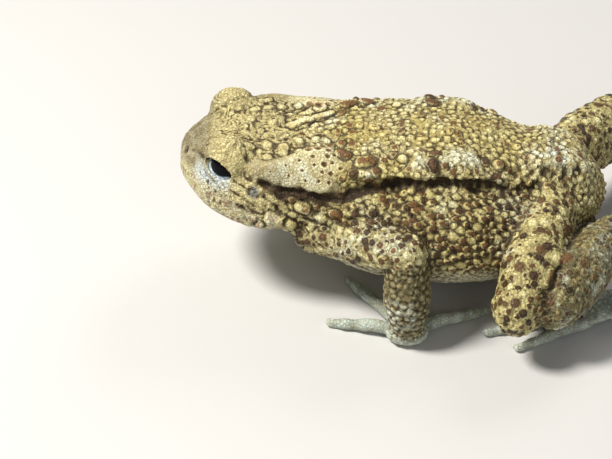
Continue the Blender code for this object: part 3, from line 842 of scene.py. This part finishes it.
# pores in pixels, each with its size
pores = (
    (309, 149, 1.2), (319, 148, 1.35), (328, 150, 1.0), (327, 156, 0.9), (313, 156, 0.75),
    (325, 165, 1.0), (333, 163, 0.7), (341, 168, 0.8), (335, 155, 0.6), (322, 172, 0.6),
    (331, 174, 0.8), (315, 165, 0.6), (340, 178, 0.6), (328, 183, 0.7), (318, 181, 0.55),
    (299, 160, 0.6), (302, 170, 0.6), (305, 181, 0.5), (286, 166, 0.5), (288, 176, 0.45),
    (297, 154, 0.45), (270, 172, 0.4),
)
pitReach = np.full(surface.count, 9.0)
for s in (1, -1):
    for *pixel, size in pores:
        px, py, pz = seenAt(pixel)
        centre = onSkin((px * s, py + (0.7 * math.sin(px * 9) if s < 0 else 0), pz))
        pitReach = np.minimum(pitReach, awayFrom(centre) / (size * glandLook["pitRadius"]))
rise -= glandLook["pitDepth"] * np.clip(1 - pitReach**2, 0, 1)
rise += glandLook["pitRim"] * bell(pitReach - 1.35, 0.3)
# painted shade in the pores
crease += glandLook["pitDark"] * smoothStep(0.6, 0.2, pitReach)

# unevenness all over: the noises' heights in mm
unevenLook = {"ripple": 0.10, "wander": 0.15, "grit": {"trunk": 0.05, "limb": 0.09, "snout": 0.04}}
gritLook = unevenLook["grit"]
rise += unevenLook["ripple"] * ripple * trunk + unevenLook["wander"] * wander * (trunk + limb).clip(0, 1)
gritHigh = gritLook["trunk"] * trunk + gritLook["limb"] * limb + gritLook["snout"] * snout
rise += gritHigh.clip(0, gritLook["limb"]) * grit

# swollen tips and joints of the digits: distance from the tip, half length and height
digitSwellings = ((0.9, 0.9, 0.26), (2.8, 0.8, -0.12), (5.2, 0.9, 0.20), (7.4, 1.2, -0.10), (10.2, 1.1, 0.18))
for name, node in nodes.items():
    if not name.startswith(("finger", "toe")):
        continue
    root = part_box(("hand_" if name.startswith("finger") else "foot_") + name.split("_")[-1])
    root = toMark((np.array(root[0]) + np.array(root[1])) / 2)
    shape = toMark(meshPoints(node.data))
    tipPlace = shape[np.linalg.norm(shape - root, axis=1).argmax()]
    away = awayFrom(tipPlace)
    onDigit = (owner == names.index(name)) * smoothStep(0.3, 1.0, z)
    for far, size, height in digitSwellings:
        rise += height * bell(away - far, size) * onDigit
rise *= 1 - fade("floorZ") * 0.9

# the skin stays smooth where the eye looks out
gazeLook = {"ahead": (0.843, -0.527, 0.105), "away": (6.0, 4.9), "facing": (0.35, 0.6)}
for s, centre in eyeCentre.items():
    away = awayFrom(centre)
    facing = (base - centre) @ mirrored(gazeLook["ahead"], s) / away
    rise *= 1 - smoothStep(*gazeLook["away"], away) * smoothStep(*gazeLook["facing"], facing)
surface.points = base + normal * rise[:, None]

# chocolate band under the gland and along the side of the back, and painted shade under the gland's overhang
bandLook = {"edge": (1.7, 0.9), "creaseEdge": (2.2, 1.0), "crease": 0.6}  # edges in mm from its middle
fromBand = np.hypot(z - along, out - alongOut) + 0.5 * wander
inRange = fade("bandFrontY") * fade("bandRearY")
fromBand += 0.5 * ripple
band = smoothStep(*bandLook["edge"], fromBand) * inRange * trunk * fade("neckY")
# painted shade under the overhang of the gland
bandShade = bandLook["crease"] * smoothStep(*bandLook["creaseEdge"], fromBand)
crease += bandShade * inRange * trunk * fade("neckShadeY")

# hollows and ridges of the finished relief
hollowLook = {"rounds": (2, 14, 60), "fine": 3.0, "broad": 1.2, "shade": (0.05, 1.1)}
fewRounds, someRounds, manyRounds = hollowLook["rounds"]
near = surface.blurred(surface.points, fewRounds)
far = surface.blurred(surface.points, someRounds)
normal = surface.normals()
fine = ((near - surface.points) * normal).sum(axis=1)
broad = ((far - near) * normal).sum(axis=1)
hollow = np.clip(0.5 + hollowLook["fine"] * fine + hollowLook["broad"] * broad, 0, 1)
wide = surface.blurred(far, manyRounds)
shade = smoothStep(*hollowLook["shade"], ((wide - far) * normal).sum(axis=1) + 0.3 * broad)

low, high = (toMark(np.array(corner)) for corner in cadBox)
surface.points = np.clip(surface.points, low + 0.01, high - 0.01)
surface.place()

lip = onHead * smoothStep(*mouthLook["paleFrom"], fromMouth) * smoothStep(*mouthLook["paleTo"], fromMouth)
eyePatch = {"ends": np.array([(11.8, -49.6, 35.2), (16.6, -43.8, 35.2)]), "radius": 2.3}
fromPatch = fromSegment(np.stack([out, y, z], axis=1), *eyePatch["ends"])
underEye = mask["head"] * bell(fromPatch, eyePatch["radius"])
paleLook = {"patches": 0.5, "lip": 0.7, "underEye": 0.5, "lowFlank": 0.7, "shank": 0.35, "thigh": 0.6}
mostly = smoothStep(-0.4, 0.3, ripple)
pale += smoothStep(0.1, 0.8, wander) * paleLook["patches"] * (1 - mask["head"])
pale += paleLook["lip"] * lip
pale += paleLook["underEye"] * underEye
pale += paleLook["lowFlank"] * zone["lowFlank"] * mostly
pale += paleLook["shank"] * mask["shank"] * smoothStep(0.1, 0.6, ripple)
pale += paleLook["thigh"] * mask["thigh"] * fade("paleThighZ") * mostly


def writeMarks(piece, marks):
    for name, values in marks.items():
        layer = piece.data.attributes.new(name, "FLOAT", "POINT")
        layer.data.foreach_set("value", np.asarray(values, np.float32))


marks = {
    "isLip": lip,
    "underEye": underEye,
    "isThigh": mask["thigh"],
    "glandFront": gland * fade("glandFrontY"),
    "shade": shade,
    "isSnout": snout,
    "wartReach": np.clip(reach, 0, 3),
    "wartTip": tip,
    "wartTone": tone,
    "crescent": np.clip(crescent, -1.5, 1.5),
    "pitReach": np.clip(pitReach, 0, 3),
    "hollow": hollow,
    "crease": np.clip(crease, 0, 1.5),
    "band": band,
    "pale": np.clip(pale, 0, 1),
    "isHead": mask["head"],
    "isGland": gland,
    "isLimb": limb,
    "isShank": (mask["shank"] + mask["tarsus"] + 0.4 * mask["foot"]).clip(0, 1),
    "isFore": mask["forearm"],
    "isDigit": mask["digit"],
    "isBelly": np.maximum(belly, 0.9 * mask["lower_jaw"]),
    "isFlank": zone["flank"] + zone["lowFlank"],
    "isEar": earMask,
}

# fewer triangles where the skin is plain
print("thinning the skin")
densePoints = surface.points.copy()
pickOnly(skin)
thin = skin.modifiers.new("thin", "DECIMATE")
thin.ratio = skinLook["triangles"] / (2 * len(skin.data.polygons))
bpy.ops.object.modifier_apply(modifier="thin")
thinned = toMark(meshPoints(skin.data))
tree = treeOf(densePoints)
match = np.array([tree.find(Vector(p))[1] for p in thinned])
writeMarks(skin, {name: values[match] for name, values in marks.items()})
pickOnly(skin)
bpy.ops.object.shade_smooth()
print("skin triangles", sum(len(p.vertices) - 2 for p in skin.data.polygons))


# Materials.
def newMaterial(name):
    made = bpy.data.materials.new(name)
    made.use_nodes = True
    tree = made.node_tree
    return made, tree, tree.nodes["Principled BSDF"]


class Wires:
    # small helpers for laying out nodes
    def __init__(self, tree):
        self.tree = tree

    def node(self, kind, **settings):
        made = self.tree.nodes.new(kind)
        for key, value in settings.items():
            setattr(made, key, value)
        return made

    def link(self, source, target):
        self.tree.links.new(source, target)

    def feed(self, socket, value):
        if isinstance(value, bpy.types.NodeSocket):
            self.link(value, socket)
        elif isinstance(value, (tuple, list)) and len(value) == 3 and socket.type == "RGBA":
            socket.default_value = (*value, 1.0)
        else:
            socket.default_value = value

    def mark(self, name):
        return self.node("ShaderNodeAttribute", attribute_name=name).outputs["Fac"]

    def math(self, operation, a, b=0.0, clamp=False):
        made = self.node("ShaderNodeMath", operation=operation, use_clamp=clamp)
        self.feed(made.inputs[0], a)
        self.feed(made.inputs[1], b)
        return made.outputs[0]

    def times(self, first, *others):
        for other in others:
            first = self.math("MULTIPLY", first, other)
        return first

    def rest(self, value):
        return self.math("SUBTRACT", 1.0, value, True)

    def step(self, value, low, high, fromTo=(0.0, 1.0)):
        made = self.node("ShaderNodeMapRange", interpolation_type="SMOOTHSTEP")
        self.feed(made.inputs["Value"], value)
        self.feed(made.inputs["From Min"], low)
        self.feed(made.inputs["From Max"], high)
        made.inputs["To Min"].default_value = fromTo[0]
        made.inputs["To Max"].default_value = fromTo[1]
        return made.outputs["Result"]

    def mix(self, amount, a, b, blend="MIX"):
        made = self.node("ShaderNodeMix", data_type="RGBA", blend_type=blend)
        made.clamp_factor = True
        self.feed(made.inputs[0], amount)
        self.feed(made.inputs[6], a)
        self.feed(made.inputs[7], b)
        return made.outputs[2]

    def grain(self, place, scale, detail=3.0, roughness=0.55):
        made = self.node("ShaderNodeTexNoise")
        self.feed(made.inputs["Scale"], scale)
        made.inputs["Detail"].default_value = detail
        made.inputs["Roughness"].default_value = roughness
        self.link(place, made.inputs["Vector"])
        return made.outputs["Fac"]

    def cells(self, place, scale, feature="F1"):
        made = self.node("ShaderNodeTexVoronoi", feature=feature)
        made.inputs["Scale"].default_value = scale
        self.link(place, made.inputs["Vector"])
        return made.outputs["Distance"]

    def streaks(self, place, scale, edge, deep, light):
        made = self.node("ShaderNodeGroup")
        made.node_tree = fineStreaks
        for socket, value in zip(made.inputs, (place, scale, *edge, deep, light)):
            self.feed(socket, value)
        return made.outputs["Tone"]


def streakGroup():
    # two tones in fine streaks, for the eye's rim and the lid edges
    group = bpy.data.node_groups.new("fineStreaks", "ShaderNodeTree")
    sockets = {"Place": "Vector", "Scale": "Float", "Low": "Float", "High": "Float", "Deep": "Color",
               "Light": "Color"}
    for name, kind in sockets.items():
        group.interface.new_socket(name, in_out="INPUT", socket_type="NodeSocket" + kind)
    group.interface.new_socket("Tone", in_out="OUTPUT", socket_type="NodeSocketColor")
    w = Wires(group)
    given = w.node("NodeGroupInput").outputs
    streak = w.grain(given["Place"], given["Scale"], 3, 0.6)
    tone = w.mix(w.step(streak, given["Low"], given["High"]), given["Deep"], given["Light"])
    w.link(tone, w.node("NodeGroupOutput").inputs["Tone"])
    return group


fineStreaks = streakGroup()


skinColours = {
    "snout": (0.22, 0.19, 0.105),
    "snoutPale": (0.34, 0.305, 0.19),
    "back": (0.52, 0.43, 0.15),
    "backPale": (0.72, 0.63, 0.30),
    "backDeep": (0.24, 0.16, 0.05),
    "head": (0.64, 0.555, 0.265),
    "gland": (0.62, 0.56, 0.30),
    "white": (0.66, 0.70, 0.55),
    "bluish": (0.62, 0.69, 0.68),
    "flank": (0.55, 0.47, 0.18),
    "limb": (0.54, 0.48, 0.22),
    "thigh": (0.61, 0.53, 0.225),
    "glandFront": (0.31, 0.255, 0.125),
    "shank": (0.095, 0.09, 0.04),
    "forearm": (0.07, 0.064, 0.031),
    "digit": (0.34, 0.39, 0.32),
    "belly": (0.48, 0.45, 0.30),
    "ear": (0.25, 0.26, 0.23),
    "tipBrown": (0.25, 0.12, 0.042),
    "tipDark": (0.026, 0.008, 0.004),
    "tipLight": (0.30, 0.13, 0.05),
    "band": (0.045, 0.018, 0.009),
    # painted shade in creases, cracks and hollows, also the colour of dark specks
    "dirt": (0.045, 0.028, 0.012),
}


def skinMaterial():
    made, tree, shader = newMaterial("toadSkin")
    w = Wires(tree)
    place = w.node("ShaderNodeTexCoord").outputs["Object"]
    c = skinColours
    broad = w.grain(place, 95, 3)
    mottle = w.grain(place, 420, 4, 0.6)
    speck = w.grain(place, 1500, 3, 0.6)
    colour = w.mix(w.step(broad, 0.42, 0.66), c["back"], c["backPale"])
    colour = w.mix(w.times(w.mark("isFlank"), 0.8), colour, c["flank"])
    colour = w.mix(w.mark("isLimb"), colour, c["limb"])
    colour = w.mix(w.mark("isThigh"), colour, c["thigh"])
    colour = w.mix(w.times(w.mark("isShank"), 0.75), colour, c["shank"])
    colour = w.mix(w.times(w.mark("isFore"), 0.8), colour, c["forearm"])
    colour = w.mix(w.times(w.mark("isHead"), 0.8), colour, c["head"])
    colour = w.mix(w.mark("isSnout"), colour, w.mix(w.step(mottle, 0.42, 0.62), c["snout"], c["snoutPale"]))
    colour = w.mix(w.mark("isGland"), colour, c["gland"])
    front = w.times(w.mark("glandFront"), w.step(mottle, 0.3, 0.6, (0.6, 1.0)))
    colour = w.mix(front, colour, c["glandFront"])
    colour = w.mix(w.mark("isBelly"), colour, c["belly"])
    colour = w.mix(w.mark("isDigit"), colour, c["digit"])
    colour = w.mix(w.times(w.mark("pale"), w.step(mottle, 0.35, 0.6)), colour, c["white"])
    eyePatch = w.times(w.mark("underEye"), w.step(mottle, 0.3, 0.55, (0.3, 0.95)))
    colour = w.mix(eyePatch, colour, c["bluish"])
    lipSpots = w.times(w.mark("isLip"), w.step(mottle, 0.5, 0.58, (0.0, 0.75)))
    colour = w.mix(lipSpots, colour, c["tipBrown"])
    colour = w.mix(w.mark("isEar"), colour, c["ear"])
    colour = w.mix(w.step(mottle, 0.55, 0.35, (0.0, 0.45)), colour, c["backDeep"])
    # painted highlight on the tops of warts, painted shade round their edge, darkest behind and below
    reach = w.mark("wartReach")
    topHighlight = w.step(reach, 0.85, 0.2)
    even = w.step(w.mark("isHead"), 0.0, 1.0, (1.0, 0.4))
    even = w.times(even, w.step(w.mark("isFlank"), 0.0, 1.0, (1.0, 0.55)))
    colour = w.mix(w.times(topHighlight, 0.42, even), colour, colour, "SCREEN")
    ring = w.times(
        w.step(reach, 0.62, 0.92),
        w.step(reach, 1.32, 1.0),
        w.step(w.mark("crescent"), -0.2, 0.8, (0.12, 0.85)),
        w.rest(w.mark("isDigit")),
        w.step(w.mark("isLimb"), 0.0, 1.0, (1.0, 0.25)),
        w.rest(w.mark("isBelly")),
    )
    colour = w.mix(ring, colour, c["dirt"])
    # brown tips
    edge = w.math("SUBTRACT", w.mark("wartTip"), reach)
    # on the flank the brown spreads towards the shaded side, as painted shade
    shift = w.times(w.mark("crescent"), w.step(w.mark("isFlank"), 0.0, 1.0, (0.1, 0.4)))
    ragged = w.times(w.math("SUBTRACT", mottle, 0.5), 1.1)
    tip = w.step(w.math("ADD", w.math("ADD", edge, shift), ragged), -0.14, 0.24)
    tipColour = w.mix(w.mark("wartTone"), c["tipBrown"], c["tipDark"])
    # painted highlight: the middle of a tip and its front upper side are lighter, as if lit
    lit = w.times(w.step(reach, 0.55, 0.05), w.step(w.mark("crescent"), 0.3, -0.4, (0.1, 0.55)))
    tipColour = w.mix(lit, tipColour, c["tipLight"])
    colour = w.mix(w.times(tip, 0.96), colour, tipColour)
    # pores on the gland
    pitReach = w.mark("pitReach")
    pit = w.times(w.step(pitReach, 1.3, 0.95), w.step(pitReach, 0.2, 0.75, (0.35, 1.0)))
    colour = w.mix(w.times(pit, 0.8), colour, c["tipBrown"])
    # fine net of grooves in the skin between and on the warts, painted dark as shade in the grooves
    jitter = w.mix(0.0008, place, w.node("ShaderNodeTexNoise").outputs["Color"], "ADD")
    net = w.cells(jitter, 1050, "DISTANCE_TO_EDGE")
    net = w.step(net, 0.16, 0.03)
    colour = w.mix(w.times(net, w.step(broad, 0.35, 0.6, (0.15, 0.42))), colour, c["dirt"])
    # bands, then painted shade (in part dark pigment) in the creases, and painted shade in the hollows
    colour = w.mix(w.times(w.mark("band"), 0.95), colour, c["band"])
    colour = w.mix(w.math("MULTIPLY", w.mark("crease"), 0.8, True), colour, c["dirt"])
    hollow = w.mark("hollow")
    # painted shade in the hollows
    colour = w.mix(w.step(hollow, 0.54, 0.82, (0.0, 0.85)), colour, c["dirt"])
    # painted highlight on the ridges
    ridgeHighlight = w.times(w.step(hollow, 0.46, 0.18, (0.0, 0.8)), w.rest(tip), even)
    colour = w.mix(ridgeHighlight, colour, colour, "SCREEN")
    colour = w.mix(w.step(speck, 0.62, 0.72, (0.0, 0.35)), colour, c["dirt"])
    colour = w.mix(w.times(w.mark("shade"), 0.8), colour, (0.22, 0.17, 0.12), "MULTIPLY")
    w.link(colour, shader.inputs["Base Color"])
    # finish and fine relief
    rough = w.math("SUBTRACT", w.step(mottle, 0.3, 0.7, (0.42, 0.66)), w.times(tip, 0.2))
    w.link(rough, shader.inputs["Roughness"])
    grains = w.cells(place, 1500)
    fine = w.math("ADD", w.times(grains, -0.6), w.times(speck, 0.5))
    fine = w.math("ADD", fine, w.times(mottle, 0.6))
    fine = w.math("ADD", fine, w.times(net, -0.5))
    bump = w.node("ShaderNodeBump")
    bump.inputs["Strength"].default_value = 0.75
    bump.inputs["Distance"].default_value = 0.00045
    w.link(fine, bump.inputs["Height"])
    w.link(bump.outputs["Normal"], shader.inputs["Normal"])
    shader.inputs["Subsurface Weight"].default_value = 0.0
    shader.inputs["Specular IOR Level"].default_value = 0.25
    return made


skin.data.materials.clear()
skin.data.materials.append(skinMaterial())
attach(skin, "root")
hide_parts(*[name for name in nodes if kindOf(name)])
print("skin done")

# Eyes.
eyeLook = {
    "radius": 4.85,
    "opening": (4.2, 2.5),  # half its length and height
    "forward": math.radians(32),
    "up": math.radians(6),
    "tilt": math.radians(24),
    "bulge": 0.05,  # by which the front stands out, as a share of the radius
    # these four count in halves of the opening
    "pupilUp": 0.08,
    "pupilEdge": (0.98, 0.88),
    "rimEdge": (0.56, 0.68),
    "rimTop": (0.05, -0.25),
    "pupil": (0.004, 0.004, 0.005),
    "iris": (0.035, 0.026, 0.012),
    "gold": (0.42, 0.30, 0.08),
    "rim": (0.60, 0.70, 0.78),
    "rimDeep": (0.28, 0.37, 0.46),
}


def gazeAxes(s):
    # ahead, along the opening and across it, for the eye of one side
    turn = Matrix.Rotation(-eyeLook["forward"], 3, "Z") @ Matrix.Rotation(-eyeLook["up"], 3, "Y")
    turn = Matrix.Diagonal((s, 1, 1)) @ turn @ Matrix.Rotation(-eyeLook["tilt"], 3, "X")
    return [np.array(turn @ Vector(axis)) for axis in ((1, 0, 0), (0, 1, 0), (0, 0, 1))]


def eyeMaterial():
    made, tree, shader = newMaterial("toadEye")
    w = Wires(tree)
    place = w.node("ShaderNodeTexCoord").outputs["Object"]
    fleck = w.grain(place, 1800, 4, 0.7)
    colour = w.mix(w.step(fleck, 0.55, 0.7), eyeLook["iris"], eyeLook["gold"])
    colour = w.mix(w.mark("pupil"), colour, eyeLook["pupil"])
    rim = w.streaks(place, 900, (0.35, 0.65), eyeLook["rimDeep"], eyeLook["rim"])
    colour = w.mix(w.mark("rim"), colour, rim)
    w.link(colour, shader.inputs["Base Color"])
    w.link(w.step(w.mark("rim"), 0.0, 1.0, (0.06, 0.3)), shader.inputs["Roughness"])
    shader.inputs["IOR"].default_value = 1.15
    return made


eyeFinish = eyeMaterial()
halfLong, halfHigh = eyeLook["opening"]
for label, s in (("left", 1), ("right", -1)):
    centre = eyeCentre[s]
    bpy.ops.object.select_all(action="DESELECT")
    bpy.ops.mesh.primitive_uv_sphere_add(segments=64, ring_count=40, radius=eyeLook["radius"] / 1000)
    eye = bpy.context.object
    eye.name = "eyeball_" + label
    points = meshPoints(eye.data) * 1000
    ahead, along, across = gazeAxes(s)
    outward = points @ ahead / eyeLook["radius"]
    bulge = 1 + eyeLook["bulge"] * smoothStep(0.6, 1.0, outward)
    u = points @ along / halfLong
    v = points @ across / halfHigh
    setPoints(eye.data, fromMark(points * bulge[:, None] + centre))
    pupil = smoothStep(*eyeLook["pupilEdge"], np.hypot(u, v - eyeLook["pupilUp"]))
    rim = smoothStep(*eyeLook["rimEdge"], np.hypot(u * 0.92, v * 0.92))
    rim *= smoothStep(*eyeLook["rimTop"], v + 0.2 * u)
    writeMarks(eye, {"pupil": pupil, "rim": rim})
    bpy.ops.object.shade_smooth()
    eye.data.materials.append(eyeFinish)
    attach(eye, "root")
    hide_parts("eye_" + label)


# lid edges: a thin roll round each opening, pale and bluish below
lidEdge = {
    "reach": 1.03,  # times the opening
    "thick": 0.48,  # mm
    "tube": 0.1,  # radius of the torus that it is shaped from
    "onBall": 22,  # square mm from the middle, past which it no longer follows the ball
    "upper": (0.10, 0.07, 0.03),
    "upperPale": (0.34, 0.26, 0.11),
    "lower": (0.54, 0.64, 0.70),
    "lowerDeep": (0.20, 0.25, 0.30),
}


def lidMaterial():
    made, tree, shader = newMaterial("lidEdge")
    w = Wires(tree)
    place = w.node("ShaderNodeTexCoord").outputs["Object"]
    upper = w.streaks(place, 1300, (0.4, 0.65), lidEdge["upper"], lidEdge["upperPale"])
    lower = w.streaks(place, 1300, (0.35, 0.6), lidEdge["lowerDeep"], lidEdge["lower"])
    w.link(w.mix(w.mark("lower"), upper, lower), shader.inputs["Base Color"])
    shader.inputs["Roughness"].default_value = 0.35
    return made


lidFinish = lidMaterial()
for label, s in (("left", 1), ("right", -1)):
    bpy.ops.object.select_all(action="DESELECT")
    bpy.ops.mesh.primitive_torus_add(major_segments=84, minor_segments=10, major_radius=1.0,
                                     minor_radius=lidEdge["tube"])
    roll = bpy.context.object
    roll.name = "lid_edge_" + label
    ring = meshPoints(roll.data)
    turn = np.arctan2(ring[:, 1], ring[:, 0])
    outwards = (np.hypot(ring[:, 0], ring[:, 1]) - 1) / lidEdge["tube"]
    upwards = ring[:, 2] / lidEdge["tube"]
    ahead, along, across = gazeAxes(s)
    u = np.cos(turn) * halfLong * lidEdge["reach"]
    v = np.sin(turn) * halfHigh * lidEdge["reach"]
    lower = smoothStep(0.25, -0.25, np.sin(turn) + 0.2 * np.cos(turn))
    thick = lidEdge["thick"] * (0.7 + 0.8 * lower)
    radial = np.stack([u, v], axis=1)
    radial /= np.linalg.norm(radial, axis=1)[:, None]
    u = u + radial[:, 0] * outwards * thick
    v = v + radial[:, 1] * outwards * thick
    deep = np.sqrt((eyeLook["radius"] + 0.05) ** 2 - np.minimum(u**2 + v**2, lidEdge["onBall"]))
    deep = deep + upwards * thick * 0.8
    points = eyeCentre[s] + deep[:, None] * ahead + u[:, None] * along + v[:, None] * across
    setPoints(roll.data, fromMark(points))
    if s < 0:
        pickOnly(roll)
        bpy.ops.object.mode_set(mode="EDIT")
        bpy.ops.mesh.select_all(action="SELECT")
        bpy.ops.mesh.normals_make_consistent(inside=False)
        bpy.ops.object.mode_set(mode="OBJECT")
    writeMarks(roll, {"lower": lower})
    bpy.ops.object.shade_smooth()
    roll.data.materials.append(lidFinish)
    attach(roll, "root")
print("eyes done")

# Floor, light and camera.
stageLook = {
    "floor": (0.60, 0.59, 0.57),
    "world": (0.95, 0.97, 1.0),
    "worldPower": 0.15,
    "aim": (0, 0, 0.02),
    # place and size in metres, power in watts, colour
    "lamps": {
        "key": ((0.10, -0.42, 0.62), 0.18, 7.9, (1.0, 0.97, 0.92)),
        "fill": ((0.60, 0.25, 0.30), 0.45, 0.9, (0.93, 0.96, 1.0)),
        "back": ((-0.45, 0.30, 0.45), 0.35, 1.5, (1.0, 0.98, 0.95)),
    },
}
bpy.ops.object.select_all(action="DESELECT")
bpy.ops.mesh.primitive_plane_add(size=3.0, location=(0, 0, 0))
floor = bpy.context.object
floor.name = "floor"
floorFinish, _, floorShader = newMaterial("paleFloor")
floorShader.inputs["Base Color"].default_value = (*stageLook["floor"], 1)
floorShader.inputs["Roughness"].default_value = 0.8
floor.data.materials.append(floorFinish)

world = bpy.data.worlds.new("studio")
bpy.context.scene.world = world
world.use_nodes = True
world.node_tree.nodes["Background"].inputs["Color"].default_value = (*stageLook["world"], 1)
world.node_tree.nodes["Background"].inputs["Strength"].default_value = stageLook["worldPower"]

for name, (place, size, power, colour) in stageLook["lamps"].items():
    light = bpy.data.lights.new(name, "AREA")
    light.shape = "DISK"
    light.size = size
    light.energy = power
    light.color = colour
    lamp = bpy.data.objects.new(name, light)
    bpy.context.scene.collection.objects.link(lamp)
    lamp.location = place
    lamp.rotation_euler = (Vector(stageLook["aim"]) - Vector(place)).to_track_quat("-Z", "Y").to_euler()

bpy.context.scene.view_settings.view_transform = "Standard"
bpy.context.scene.view_settings.look = "None"

cameraData = bpy.data.cameras.new("view")
camera = bpy.data.objects.new("view", cameraData)
bpy.context.scene.collection.objects.link(camera)
camera.location = fromMark(viewFrom)
camera.rotation_euler = (-viewBack).to_track_quat("-Z", "Y").to_euler()
cameraData.sensor_width = viewLook["sensor"]
viewWide = viewLook["pixels"][0] * viewLook["mmPerPixel"]
cameraData.lens = viewLook["sensor"] * viewLook["distance"] / viewWide
cameraData.clip_start = 0.01
cameraData.clip_end = 20
bpy.context.scene.camera = camera

print("scene done")
